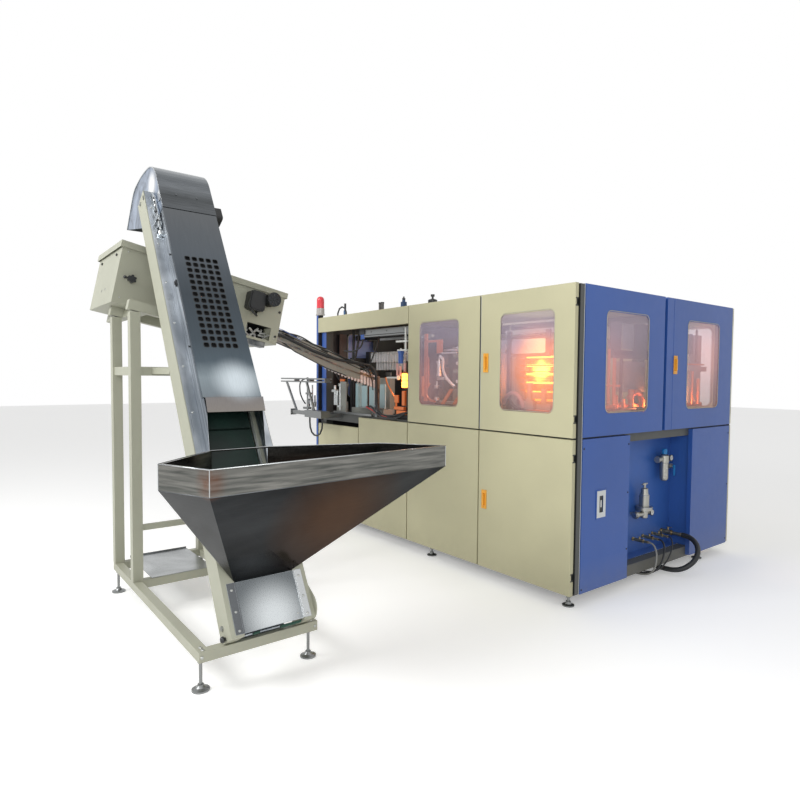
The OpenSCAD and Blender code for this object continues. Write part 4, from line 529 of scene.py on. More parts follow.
def hood_stainless():
    """Bent stainless hood: its top painted in dark reflected tones, with lines ground across it,
    and its cheeks painted bright as lit sheet.
    """
    material, tree, shader = new_finish("brushed_stainless_hood", "#8A8D90", Metallic=1.0)
    normal = add(tree, "NewGeometry", output="True Normal")
    sideways = add(tree, "SeparateXYZ", {}, {"Vector": normal}, "Y")
    side = add(tree, "Math", {"operation": "ABSOLUTE"}, {0: sideways})
    stops = [(0, "#626568"), (90, "#55585A"), (170, "#777B7F"), (230, "#6B6F73"), (330, "#8E9397")]
    top = tones_along(tree, UP_THE_INCLINE, on_elevator(0, 0, 2500), 330, stops, 4, 60)
    both = add(tree, "Mix", {"data_type": "RGBA", 7: linear("#DDE0E4")}, {0: side, 6: top})
    lines = ground_lines(tree, shader, 0.26, (260, 9, 260), strength=0.4)
    feed(shader, Base_Color=streaked(tree, both, lines, 0.55, 1.35))
    return material


def hood_cheek_finish():
    """Bright-rolled sheet in shade: blue-grey with a white glint near the top of its bend."""
    material, tree, shader = new_finish(
        "bright_hood_cheek", "#A7B2C4", Metallic=1.0, Roughness=0.32
    )
    clouds = add(
        tree, "TexNoise", {"Scale": 7, "Detail": 4, "Distortion": 1.5}, {"Vector": place_of(tree)}
    )
    tones = add(tree, "ValToRGB", {"stops": [(0.35, "#6E7886"), (0.65, "#A6B3C6")]}, {"Fac": clouds})
    glint = patch_round(tree, on_elevator(95, -2053, 2765), 0.03, 0.11, 1.0)
    lit = add(tree, "Mix", {"data_type": "RGBA", 7: linear("#FFFFFF")}, {0: glint, 6: tones})
    feed(shader, Base_Color=lit)
    return material


def hopper_stainless():
    """Hand-welded stainless hopper. Its upright band is ground along its length. The body below
    leans in over the floor, so its colour is painted much darker as a dark reflection, with brown
    patches low on its right. Heat tint lies along the near corner's weld, with rust on the corner."""
    material, tree, shader = new_finish("satin_stainless_hopper", "#6A6A68", Metallic=1.0)
    place = place_of(tree)
    band_lines = add(
        tree,
        "TexNoise",
        {"Scale": 1.0, "Detail": 4, "Distortion": 0.4},
        {"Vector": place_of(tree, scale=(3.5, 3.5, 60))},
    )
    band = add(
        tree, "ValToRGB", {"stops": [(0.32, "#5C5E5B"), (0.66, "#8E8D88")]}, {"Fac": band_lines}
    )
    clouds = add(
        tree, "TexNoise", {"Scale": 1.5, "Detail": 3, "Distortion": 1.2}, {"Vector": place}
    )
    body = add(tree, "ValToRGB", {"stops": [(0.3, "#191A1C"), (0.72, "#3C3E40")]}, {"Fac": clouds})
    warm = add(
        tree,
        "MapRange",
        {"From Min": 0.10, "From Max": 0.42, "To Min": 0.85, "To Max": 0.0},
        {"Value": distance_from(tree, at(-330, -1560, 800))},
    )
    tanned = add(tree, "Mix", {"data_type": "RGBA", 7: linear("#553E2E")}, {0: warm, 6: body})
    height = add(tree, "SeparateXYZ", {}, {"Vector": place}, "Z")
    fold = {"From Min": (HOPPER_BAND_Z - 3) * MM, "From Max": (HOPPER_BAND_Z + 3) * MM}
    above = add(tree, "MapRange", fold, {"Value": height})
    both = add(tree, "Mix", {"data_type": "RGBA"}, {0: above, 6: tanned, 7: band})
    near = add(
        tree,
        "MapRange",
        {"From Min": 0.02, "From Max": 0.11, "To Min": 0.9, "To Max": -0.25},
        {"Value": distance_from(tree, at(-128, -2287, 1050))},
    )
    spots = add(tree, "TexNoise", {"Scale": 30, "Detail": 6}, {"Vector": place})
    rusty = add(tree, "Math", {"operation": "MULTIPLY", "use_clamp": True}, {0: near, 1: spots})
    mixed = add(tree, "Mix", {"data_type": "RGBA", 7: linear("#7A4526")}, {0: rusty, 6: both})
    lines = ground_lines(tree, shader, 0.17, (12, 12, 300), strength=0.3)
    feed(shader, Base_Color=streaked(tree, mixed, lines, 0.86, 1.14))
    return material


BLUE = {"dusty": "#7C7F8A", "roughness": 0.34}
beige = powder_coat("powder_coat_beige", "#BDB998")
blue = powder_coat("powder_coat_blue", "#2E57A3", **BLUE)
blue_left = dark_inside(powder_coat("powder_coat_blue_left_end", "#2E57A3", **BLUE), "#2B2A2C")
niche_blue = powder_coat("powder_coat_niche_blue", "#335EA8", dusty="#5A6076")
frame_grey = powder_coat("powder_coat_frame_grey", "#4A4C4A", roughness=0.5)
feeder_beige = powder_coat("powder_coat_feeder_beige", "#A5A695", roughness=0.46)
machine_grey = powder_coat("machine_enamel_grey", "#8A8C86", roughness=0.5)
liner_brown = powder_coat("liner_sheet_brown_grey", "#5C504B", roughness=0.5)
casing_stainless = sheet_stainless(
    "folded_stainless_casing", "#D2D7DC", "#878E95", 0.3, 4.0, TO_INCLINE, (1, 1, 60), (7, 1, 0.45)
)
plate_stainless = sheet_stainless("satin_stainless_plate", "#B7BABB", "#8E9192", 0.3, 2.5)
hopper_sheet = hopper_stainless()
chute_stainless = sheet_stainless("formed_stainless_chute", "#8B8E8E", "#4C5053", 0.42, 7.0)
chute_skirt = plain_metal("satin_chute_sheet", "#8E9089", 0.55, 30, 0.2, metallic=0.25)
turned_steel = plain_metal("turned_steel", "#A9ABAD", 0.3)
zinc_steel = plain_metal("zinc_plated_steel", "#B9BBB8", 0.35, 5)
cast_alloy = plain_metal("cast_alloy_blasted", "#ABAAA3", 0.42, 4, depth=0.8 * MM)
brass = plain_metal("plated_brass_fitting", "#B3A37E", 0.32, 5)
rack_steel = plain_metal("rack_steel_grey", "#8A8C8C", 0.36, 6)
dark_steel = plain_metal("blackened_steel", "#3A3C3E", 0.45, 6, metallic=0.9)
strip_dark = plain_metal("steel_strip_dark_tone", "#66696C", 0.4, 5, 0.25)
strip_bright = plain_metal("steel_strip_bright_tone", "#C2C5C6", 0.24, 5)
silver = plain_metal("anodised_aluminium_profile", "#C9CCCC", 0.3, 5)
# Metal in the heaters' light: its orange colour and its faint glow are painted light.
orange_lit_metal = plain_metal("orange_lit_bracket", "#B8714A", 0.35, 6)
painted_orange_glow = orange_lit_metal.node_tree.nodes["Principled BSDF"].inputs
painted_orange_glow["Emission Color"].default_value = linear("#FF7A3C")
painted_orange_glow["Emission Strength"].default_value = 0.16
amber = moulded("amber_nylon_handle", "#E8A63A", 0.32)
blue_knob = moulded("blue_acetal", "#1E78B8", 0.3)
blue_fitting = moulded("blue_push_in_fitting", "#3A5FA8", 0.3)
black_hose = moulded("black_hose_rubber", "#222426", 0.5)
grey_hose = moulded("grey_hose_rubber", "#8A8A84", 0.5)
gasket = moulded("window_gasket_rubber", "#A9A596", 0.55)
black_plastic = moulded("black_bakelite", "#26282A", 0.34)
motor_grey = moulded("motor_casting_enamel", "#191B1C", 0.4, 7)
machine_black = moulded("black_machine_enamel", "#1C1E20", 0.4)
painted_shade_black = moulded("matt_black_painted_shade", "#06080B", 0.9)
vent_black = moulded("vent_edge_black", "#101214", 0.5)
green_felt = moulded("green_sealing_felt", "#24463A", 0.8, 4)
cyan_acrylic = moulded("pale_acrylic_guide_plate", "#A9C4C8", 0.2, Alpha=0.85)
red_cable = moulded("red_cable_sheath", "#C4322A", 0.4)
pink_tube = moulded("polyurethane_air_tube", "#D9A9A4", 0.25, Alpha=0.8)
window_light_pane = moulded("pane_painted_window_light", "#8794C4", 0.35)
white_trim = moulded("white_nylon_trim", "#D9DAD6", 0.4)
pane = smoked_pane("smoked_acrylic_pane", 0.28)
end_pane = smoked_pane("hazy_acrylic_pane", 0.33)
pet = clear_pet()
lamp = glowing_lamp("halogen_heater_tube", "X", 6)
heater_core = glowing_lamp("glowing_heater_column", "Z", 5)

FINISHES = {
    beige: ["roof_panels", "front_panels", "front_door_left", "front_door_right", "lower_door",
            "rear_door_bay", "rear_door_main", "rear_panels"],
    blue: ["end_door_left", "end_door_right", "end_panels"],
    blue_left: ["left_end_panels"],
    niche_blue: ["niche_box"],
    frame_grey: ["cabinet_frame"],
    feeder_beige: ["feeder_frame", "elevator_stringers", "sorter_box"],
    machine_grey: ["machine_bed", "moving_platen", "oven_housing"],
    casing_stainless: ["elevator_casing"],
    cover_stainless(): ["elevator_cover"],
    hood_stainless(): ["elevator_hood"],
    hopper_sheet: ["hopper"],
    chute_stainless: ["preform_chute"],
    plate_stainless: ["shelf_plate"],
    turned_steel: ["head_roller", "tail_roller", "sorter_roller_a", "sorter_roller_b",
                   "stretch_carriage"],
    cast_alloy: ["air_regulators", "tee_handle"],
    roof_fittings_finish(): ["roof_valves"],
    brass: ["air_manifold"],
    rack_steel: ["outfeed_rack", "levelling_feet"],
    amber: ["front_handle", "lower_handle", "end_handle"],
    blue_knob: ["regulator_knob", "valve_lever"],
    black_hose: ["bay_cables"],
    black_plastic: ["sorter_knob", "kicker_wheel"],
    motor_grey: ["sorter_motors"],
    pane: ["front_window_left", "front_window_right", "rear_window_bay", "rear_window_main"],
    end_pane: ["end_window_left", "end_window_right"],
    pet: ["preforms"],
    lamp: ["oven_lamps"],
    belt_pvc(): ["elevator_belt"],
    beacon_finish(): ["beacon"],
}
for material, names in FINISHES.items():
    for name in names:
        slots = nodes[name].data.materials
        slots.clear()
        slots.append(material)

# Hoses: millimetres of diameter, finish and route

SMALL_HOSE = 13
HOSES = {
    "hose_main": (39, black_hose, [
        (-22, 1450, 262), (-8, 1450, 262), (47, 1443, 255), (95, 1423, 236), (131, 1393, 206),
        (150, 1356, 169), (150, 1317, 129), (131, 1280, 93), (95, 1250, 62), (47, 1230, 43),
        (-8, 1223, 36), (-90, 1223, 36), (-180, 1223, 36), (-300, 1223, 36), (-420, 1223, 36)]),
    "hose_grey": (SMALL_HOSE, grey_hose, [
        (-62, 1030, 262), (-50, 1030, 262), (-24, 1025, 254), (2, 1012, 232), (18, 1000, 204),
        (26, 988, 168), (28, 978, 132), (22, 970, 98), (4, 964, 66), (-26, 960, 44),
        (-66, 958, 34), (-120, 956, 30), (-190, 954, 30), (-300, 950, 30), (-420, 950, 30)]),
    "hose_black": (SMALL_HOSE, black_hose, [
        (-62, 1170, 262), (-50, 1170, 262), (-24, 1161, 253), (0, 1141, 232), (16, 1116, 204),
        (26, 1088, 170), (28, 1062, 134), (20, 1040, 98), (0, 1024, 66), (-30, 1014, 44),
        (-70, 1008, 33), (-130, 1004, 28), (-200, 1002, 28), (-310, 1000, 28), (-420, 1000, 28)]),
    "hose_thin": (SMALL_HOSE - 3, black_hose, [
        (-62, 1310, 262), (-50, 1310, 262), (-27, 1297, 250), (-4, 1270, 226), (10, 1238, 196),
        (18, 1200, 162), (20, 1160, 128), (12, 1124, 94), (-8, 1094, 62), (-40, 1074, 40),
        (-84, 1062, 30), (-140, 1054, 27), (-210, 1051, 27), (-310, 1050, 27), (-420, 1050, 27)]),
}


def tube_curve(name, points, radius, material, smooth=True):
    """A round tube whose centreline passes through the points."""
    curve = bpy.data.curves.new(name, "CURVE")
    curve.dimensions = "3D"
    curve.bevel_depth = radius
    curve.bevel_resolution = 5
    curve.resolution_u = 6
    curve.use_fill_caps = True
    spline = curve.splines.new("BEZIER" if smooth else "POLY")
    if smooth:
        spline.bezier_points.add(len(points) - 1)
        for knot, point in zip(spline.bezier_points, points):
            knot.co = point
            knot.handle_left_type = knot.handle_right_type = "AUTO"
    else:
        spline.points.add(len(points) - 1)
        for knot, point in zip(spline.points, points):
            knot.co = (*point, 1)
    curve.materials.append(material)
    return stand_in_scene(name, curve)


for node_name, (diameter, material, route) in HOSES.items():
    points = [at(*p) for p in route]
    hose = tube_curve(node_name + "_tube", points, diameter / 2 * MM, material)
    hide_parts(node_name)
    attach(hose, "machine")

# What small parts are made with


def new_piece(name, build, material, body="machine", smooth=False):
    """A mesh piece made by build(bm) in the part's metres, riding on a body."""
    bm = bmesh.new()
    build(bm)
    bmesh.ops.recalc_face_normals(bm, faces=bm.faces)
    mesh = bpy.data.meshes.new(name)
    bm.to_mesh(mesh)
    bm.free()
    mesh.materials.append(material)
    if smooth:
        for polygon in mesh.polygons:
            polygon.use_smooth = True
    piece = stand_in_scene(name, mesh)
    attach(piece, body)
    return piece


def facing(place, normal, spin=0):
    """A matrix that puts local Z along normal at a place."""
    turned = normal.to_track_quat("Z", "Y").to_matrix().to_4x4()
    return Matrix.Translation(place) @ turned @ Matrix.Rotation(spin, 4, "Z")


def bridge(bm, rings):
    """Faces between each ring of vertices and the next."""
    for low, high in zip(rings, rings[1:]):
        for i in range(len(low)):
            j = (i + 1) % len(low)
            bm.faces.new((low[i], low[j], high[j], high[i]))


def add_turned(bm, matrix, profile, segments=24):
    """A turned solid from (radius, height) pairs in millimetres, round local Z."""
    rings = []
    for radius, height in profile:
        ring = []
        for i in range(segments):
            angle = 2 * math.pi * i / segments
            point = Vector((radius * math.cos(angle), radius * math.sin(angle), height)) * MM
            ring.append(bm.verts.new(matrix @ point))
        rings.append(ring)
    bridge(bm, rings)
    bm.faces.new(rings[0][::-1])
    bm.faces.new(rings[-1])


# Button head with its socket, as shares of the head's radius
SCREW_HEAD = [(1.0, 0), (1.0, 0.25), (0.86, 0.52), (0.6, 0.66), (0.42, 0.66), (0.38, 0.3)]


def add_screw(bm, place, normal, radius, spin):
    """Button-head socket screw with its socket sunk in the head."""
    profile = [(r * radius, h * radius) for r, h in SCREW_HEAD]
    add_turned(bm, facing(place, normal, spin), profile, 18)


def add_block(bm, place, low, high, bevel=1.5):
    """A block between two corners given in millimetres, with its edges rounded off. place maps
    its three coordinates to the part."""
    corners = [
        bm.verts.new(place(x, y, z))
        for x in (low[0], high[0])
        for y in (low[1], high[1])
        for z in (low[2], high[2])
    ]
    quads = ((0, 1, 3, 2), (4, 6, 7, 5), (0, 4, 5, 1), (2, 3, 7, 6), (0, 2, 6, 4), (1, 5, 7, 3))
    faces = [bm.faces.new([corners[i] for i in quad]) for quad in quads]
    edges = list(dict.fromkeys(edge for face in faces for edge in face.edges))
    bmesh.ops.bevel(bm, geom=edges, offset=bevel * MM, segments=2, affect="EDGES", profile=0.5)


def add_prism(bm, outline, push):
    """A flat outline of points pushed along a vector into a solid."""
    low = [bm.verts.new(point) for point in outline]
    high = [bm.verts.new(point + push) for point in outline]
    bm.faces.new(low)
    bm.faces.new(high[::-1])
    bridge(bm, [low, high])


def add_rod(bm, start, end, radius):
    """A turned rod between two points, its ends chamfered."""
    along = end - start
    length = along.length / MM
    cut = min(1.5, radius * 0.3)
    profile = [(radius - cut, 0), (radius, cut), (radius, length - cut), (radius - cut, length)]
    add_turned(bm, facing(start, along), profile, 20)


def parts_piece(name, material, blocks=(), rods=(), turned=(), screws=(), place=at,
                body="machine", smooth=False):
    """One piece joined from blocks (two corners, perhaps a bevel), rods (two ends, radius),
    turned parts (spot, axis, profile) and screws (axis, radius, spots), in millimetres."""

    def build(bm):
        for block in blocks:
            add_block(bm, place, *block)
        for start, end, radius in rods:
            add_rod(bm, place(*start), place(*end), radius)
        for spot, axis, profile in turned:
            add_turned(bm, facing(place(*spot), axis), profile)
        for axis, radius, spots in screws:
            for spot in spots:
                add_screw(bm, place(*spot), axis, radius, spin=spot[0] * 0.7 + spot[2])

    return new_piece(name, build, material, body, smooth)


def cable(name, points, radius, material, place=at):
    """A round cable or bead through points in millimetres, fixed to the machine."""
    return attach(tube_curve(name, [place(*p) for p in points], radius * MM, material), "machine")


def closed_strip(name, points, radius, material, body="machine"):
    """A closed round strip along the points."""
    strip = tube_curve(name, points, radius * MM, material, smooth=False)
    strip.data.splines[0].use_cyclic_u = True
    strip.data.bevel_resolution = 2
    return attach(strip, body)


def rounded_edge(corner, across, up, width, height, radius):
    """Points round a rectangle with rounded corners, its sizes in millimetres."""
    points = []
    spots = [(width - radius, radius, -90), (width - radius, height - radius, 0),
             (radius, height - radius, 90), (radius, radius, 180)]
    for cx, cz, start in spots:
        for step in range(7):
            angle = math.radians(start + 15 * step)
            x = cx + radius * math.cos(angle)
            z = cz + radius * math.sin(angle)
            points.append(corner + (across * x + up * z) * MM)
    return points


# Gaskets of the windows. Each door's window starts this far above the seam, and this far along
# from the door's own edge.

WINDOW_Z0 = SEAM_Z + 6 + 155
WINDOW_HEIGHT = 680
WINDOW_RADIUS = 45
GASKET_RADIUS = 2.4
PROUD = 0.5
WINDOWS = [
    ("front_left", at(-1703 + 151, -PROUD, WINDOW_Z0), ALONG_X, 474),
    ("front_right", at(-840 + 197, -PROUD, WINDOW_Z0), ALONG_X, 474),
    ("end_left", at(PROUD, 93 + 236, WINDOW_Z0), ALONG_Y, 520),
    ("end_right", at(PROUD, 1103 + 307, WINDOW_Z0), ALONG_Y, 520),
]
for name, corner, across, width in WINDOWS:
    edge = rounded_edge(corner, across, UPWARD, width, WINDOW_HEIGHT, WINDOW_RADIUS)
    closed_strip("gasket_" + name, edge, GASKET_RADIUS, gasket, "door_" + name)

for side in ("bay", "main"):
    pane_node = nodes["rear_window_" + side]
    corners = [pane_node.matrix_world @ Vector(c) for c in pane_node.bound_box]
    low, high = (Vector([pick(c[i] for c in corners) for i in range(3)]) for pick in (min, max))
    corner = Vector((low.x, at(0, CABINET_DEPTH + PROUD, 0).y, low.z))
    width, height = (high.x - low.x) / MM, (high.z - low.z) / MM
    edge = rounded_edge(corner, ALONG_X, UPWARD, width, height, WINDOW_RADIUS)
    closed_strip("gasket_rear_window_" + side, edge, GASKET_RADIUS, gasket, "door_rear_" + side)

# Windows of the left end: opaque panes painted pale blue with the light seen through a window,
# set on both faces of the end panels

LEFT_END_WINDOWS = ((345, 869), (1410, 1926))
LEFT_END_FACES = (("outer", -CABINET_LENGTH - 1.5), ("inner", -CABINET_LENGTH + 36))
for number, (y0, y1) in enumerate(LEFT_END_WINDOWS):
    for face, x in LEFT_END_FACES:
        corner = at(x, y0, WINDOW_Z0)
        edge = rounded_edge(corner, ALONG_Y, UPWARD, y1 - y0, WINDOW_HEIGHT, WINDOW_RADIUS)
        new_piece(
            f"left_end_pane_{face}_{number}",
            lambda bm, edge=edge: add_prism(bm, edge, ALONG_X * 1.5 * MM),
            window_light_pane,
        )
        closed_strip(f"left_end_gasket_{face}_{number}", edge, 4, gasket)

# Bay: what stands in the open end of the cabinet

parts_piece("bay_liner", liner_brown,
    blocks=[
        ((-3196, 44, 1124), (-3193, 160, 1944)), ((-3196, 236, 1124), (-3192, 330, 1944)),
        ((-2790, 330, 1124), (-2786, 420, 1460)),
    ],
)
parts_piece("bay_dark_screen", machine_black,
    blocks=[
        ((-3152, 690, 1124), (-3148, 1300, 1944)), ((-3150, 640, 1780), (-3144, 700, 1944)),
        ((-3146, 340, 1124), (-3120, 700, 1692)), ((-3110, 520, 1300), (-3040, 640, 1760)),
        ((-2980, 700, 1124), (-2900, 760, 1560)), ((-3146, 560, 1880), (-3136, 700, 1900)),
        ((-3150, 1300, 1124), (-2300, 1306, 1944)),
    ],
    rods=[((-3140, 660, 1124), (-3140, 660, 1700), 14), ((-3120, 600, 1124), (-3120, 600, 1560), 9)],
)
parts_piece("bay_beam", rack_steel,
    blocks=[
        ((-2540, 96, 1872), (-1752, 140, 1886)), ((-2540, 96, 1890), (-1752, 150, 1942)),
        ((-2540, 300, 1850), (-1752, 330, 1872)), ((-2940, 10, 1122), (-2270, 32, 1142)),
        ((-2560, 60, 1188), (-2230, 190, 1198)),
    ],
    screws=[(OUT_OF_FRONT, 7, [(x, 96, 1916) for x in (-2520, -2400, -2150, -1900)])],
)
parts_piece("bay_beam_clamp", machine_black,
    blocks=[
        ((-2590, 88, 1900), (-2500, 150, 1960)), ((-2570, 92, 1944), (-2520, 140, 1990)),
        ((-3160, 420, 1880), (-1760, 470, 1930)), ((-2160, 400, 1124), (-2120, 440, 1900)),
        ((-1990, 60, 1124), (-1770, 200, 1160)), ((-1950, 80, 1160), (-1860, 150, 1230)),
    ],
)
parts_piece("bay_sensor_pair", blue_fitting,
    blocks=[((-1905, 40, 1700), (-1865, 80, 1722))],
    rods=[
        ((-2560, 100, 1852), (-2560, 100, 1900), 13), ((-2530, 100, 1856), (-2530, 100, 1900), 13),
        ((-1885, 60, 1612), (-1885, 60, 1708), 23),
    ],
)
parts_piece("bay_hanger_bars", white_trim,
    blocks=[((-1945, 48, 1799), (-1790, 74, 1814)), ((-1925, 48, 1722), (-1790, 74, 1736))],
    rods=[
        ((-1818, 60, 1722), (-1818, 60, 1930), 9), ((-1885, 60, 1722), (-1885, 60, 1745), 8),
        ((-2090, 60, 1486), (-1900, 60, 1486), 8),
    ],
    turned=[((-1925, 60, 1486), ALONG_X, [(8, 0), (20, 1), (20, 10), (8, 12)])],
)
parts_piece("bay_air_tubes", pink_tube,
    rods=[
        ((-1935, 60, 1505), (-1935, 60, 1612), 11), ((-1890, 60, 1500), (-1890, 60, 1590), 10),
        ((-1826, 60, 1540), (-1826, 60, 1615), 12),
    ],
)
parts_piece("bay_guide_plates", cyan_acrylic,
    blocks=[
        ((-2716, 130, 1186), (-2668, 170, 1424)), ((-2624, 140, 1196), (-2532, 150, 1404)),
        ((-2490, 140, 1196), (-2406, 150, 1396)), ((-2300, 130, 1190), (-2214, 142, 1422)),
    ],
)
parts_piece("bay_transfer_block", machine_grey,
    blocks=[
        ((-2740, 100, 1066), (-2200, 220, 1186)), ((-2880, 250, 1070), (-2830, 300, 1400)),
        ((-3060, 120, 1070), (-2960, 200, 1230)), ((-3050, 130, 1390), (-2930, 190, 1420)),
        ((-2700, 400, 1124), (-2500, 460, 1480)),
    ],
    rods=[((-3010, 160, 1230), (-3010, 160, 1390), 16)],
    screws=[(OUT_OF_FRONT, 8, [(x, 100, 1150) for x in (-2700, -2600, -2400, -2240)])],
)
parts_piece("bay_lit_brackets", orange_lit_metal,
    blocks=[
        ((-2866, 40, 1442), (-2798, 58, 1466)), ((-1990, 70, 1262), (-1935, 84, 1330)),
        ((-1880, 70, 1240), (-1840, 90, 1370)), ((-1990, 66, 1200), (-1850, 96, 1228)),
        ((-1920, 40, 1162), (-1790, 60, 1196)),
    ],
    rods=[((-1960, 70, 1230), (-1960, 70, 1262), 10)],
)

parts_piece("bay_heater", heater_core,
    turned=[
        ((-1830, 62, 1398), UPWARD,
         [(20, 0), (27, 4), (27, 52), (22, 60), (26, 70), (26, 118), (20, 128)]),
    ],
    smooth=True,
)


# A preform stood on its closed end, with its support ring and neck, as (radius, height)
PREFORM_PROFILE = [
    (10, 0), (13, 4), (14, 14), (14, 70), (12, 78), (17, 80), (17, 83), (12.5, 85), (12.5, 104), (11, 104)
]


def add_preform_rows(bm):
    """Rows of preforms waiting on the carousel at the back of the bay."""
    for row, (y, z) in enumerate(((430, 1640), (490, 1560), (560, 1650))):
        for i in range(11):
            spot = at(-2860 + 46 * i + 14 * row, y, z)
            add_turned(bm, facing(spot, UPWARD), PREFORM_PROFILE, 12)


new_piece("bay_preform_rows", add_preform_rows, pet, smooth=True)
cable("bay_cable_red", [
    (-2420, 60, 1204), (-2330, 22, 1198), (-2230, 4, 1180), (-2140, -6, 1150), (-2060, -12, 1136),
    (-1980, -14, 1128),
], 7, red_cable)
cable("bay_cable_low", [
    (-2400, 60, 1206), (-2280, 20, 1212), (-2180, -4, 1170), (-2080, -14, 1136), (-1960, -16, 1126),
    (-1850, -6, 1136), (-1772, 30, 1180),
], 9, black_hose)
cable("bay_cable_sensor", [
    (-2545, 100, 1860), (-2560, 96, 1800), (-2640, 90, 1755), (-2740, 84, 1740), (-2830, 70, 1752),
], 8, black_hose)
cable("bay_cable_left", [
    (-3010, 160, 1420), (-3040, 110, 1500), (-3030, 90, 1600), (-2960, 60, 1640),
], 7, black_hose)
cable("bay_cable_lit", [
    (-1990, 80, 1300), (-2040, 60, 1380), (-2090, 60, 1440), (-2110, 60, 1486),
], 7, orange_lit_metal)

cable("chute_cable_black", [
    (-2216, -1040, 1894), (-2202, -900, 1852), (-2206, -760, 1824), (-2200, -620, 1758),
    (-2210, -480, 1722), (-2198, -340, 1660), (-2204, -200, 1616), (-2192, -90, 1560), (-2186, -40, 1460),
    (-2184, -30, 1370),
], 6, black_hose)
cable("chute_cable_grey", [
    (-2226, -1040, 1878), (-2220, -880, 1852), (-2212, -720, 1784), (-2222, -560, 1752),
    (-2212, -400, 1678), (-2218, -250, 1642), (-2206, -120, 1596), (-2204, -60, 1510),
], 4, rack_steel)
cable("chute_cable_blue", [
    (-2200, -1050, 1892), (-2190, -960, 1878), (-2194, -860, 1840), (-2200, -760, 1796),
], 3, blue_fitting)

# Side sheet that hangs from the chute's near edge, as (y, z)
SKIRT_X = -2207
SKIRT_EDGE = [(-945, 1780), (-813, 1694), (-667, 1631), (-510, 1561), (-306, 1497), (-160, 1470),
              (-157, 1579), (-306, 1657), (-511, 1729), (-813, 1819), (-945, 1870)]


def add_chute_skirt(bm):
    """The sheet's outline, 2 mm thick."""
    add_prism(bm, [at(SKIRT_X, y, z) for y, z in SKIRT_EDGE], ALONG_X * 2 * MM)


new_piece("chute_side_sheet", add_chute_skirt, chute_skirt)
parts_piece("chute_edge_bars", machine_black,
    rods=[
        ((-2203, -930, 1872), (-2203, -160, 1588), 4), ((-2203, -930, 1846), (-2203, -160, 1562), 3),
        ((-2203, -945, 1784), (-2203, -813, 1698), 4), ((-2203, -813, 1698), (-2203, -510, 1565), 4),
        ((-2203, -510, 1565), (-2203, -306, 1501), 4), ((-2198, -900, 1836), (-2198, -820, 1804), 7),
        ((-2198, -560, 1726), (-2198, -500, 1702), 7),
    ],
)

parts_piece("bay_grey_fittings", silver,
    blocks=[
        ((-3112, 360, 1500), (-3092, 420, 1640)), ((-3112, 440, 1400), (-3092, 500, 1560)),
        ((-2980, 690, 1500), (-2880, 700, 1540)), ((-2700, 560, 1700), (-2300, 566, 1716)),
        ((-3030, 40, 1330), (-2950, 80, 1356)), ((-2970, 30, 1200), (-2900, 60, 1300)),
        ((-2890, 24, 1180), (-2830, 56, 1200)),
    ],
    rods=[
        ((-3090, 400, 1200), (-3090, 400, 1480), 12), ((-3090, 560, 1200), (-3090, 560, 1640), 8),
        ((-2990, 60, 1240), (-2990, 60, 1400), 14), ((-2860, 40, 1150), (-2860, 40, 1420), 10),
    ],
    turned=[((-2920, 44, 1300), UPWARD, [(16, 0), (16, 30), (22, 32), (22, 46)])],
    screws=[(OUT_OF_FRONT, 7, [(-2935, 30, 1280), (-2935, 30, 1220)])],
)

parts_piece("rack_fittings", rack_steel,
    blocks=[((-3310, -110, 1300), (-3240, -70, 1320)), ((-3290, -150, 1150), (-3180, -110, 1172))],
    rods=[((-3300, -90, 1120), (-3300, -90, 1480), 9), ((-3250, -60, 1120), (-3250, -60, 1400), 7)],
    turned=[
        ((-3260, -100, 1172), UPWARD, [(18, 0), (18, 30), (12, 34), (12, 70), (16, 72), (16, 84)]),
        ((-3200, -60, 1172), UPWARD, [(14, 0), (14, 50), (9, 54), (9, 120)]),
    ],
)
cable("rack_hose_upper", [
    (-3300, -100, 1470), (-3325, -150, 1440), (-3320, -170, 1350), (-3290, -160, 1260),
    (-3270, -130, 1200),
], 7, black_hose)

# Front doors: seal in the gap, and a silver strip on the right door's edge as a painted highlight on its
# fold

parts_piece("front_door_seal", machine_black,
    blocks=[((-851.2, 1.2, 1114), (-840.8, 12, 2092), 1)],
)
parts_piece("front_door_edge", silver,
    blocks=[((-839.4, -0.7, 1116), (-836, 0.3, 2090), 0.3)],
    body="door_front_right",
)

# Behind the windows: clamp, valves and oven parts

# Air cylinder: end caps, barrel and rod, as (radius, height)
PNEUMATIC = [(14, 0), (24, 1), (24, 16), (20, 18), (20, 110), (24, 112), (24, 128), (9, 130), (9, 160)]
parts_piece("clamp_frame_lit", orange_lit_metal,
    blocks=[
        ((-1608, 96, 1290), (-1576, 116, 1860)), ((-1576, 98, 1784), (-1384, 112, 1804)),
        ((-1452, 100, 1692), (-1376, 104, 1786)), ((-1560, 90, 1420), (-1545, 104, 1660)),
    ],
    rods=[((-1622, 100, 1330), (-1622, 100, 1500), 14)],
    screws=[(OUT_OF_FRONT, 6, [(-1592, 96, z) for z in (1820, 1700, 1560, 1420)])],
)


def add_diagonals(bm):
    """Two slanting arms of the transfer drive."""
    for low_x, shift in ((-1400, 0), (-1290, 30)):
        outline = [at(low_x, 104 + shift, 1274), at(low_x + 36, 104 + shift, 1274),
                   at(low_x + 150, 104 + shift, 1400), at(low_x + 112, 104 + shift, 1400)]
        add_prism(bm, outline, ALONG_Y * 12 * MM)


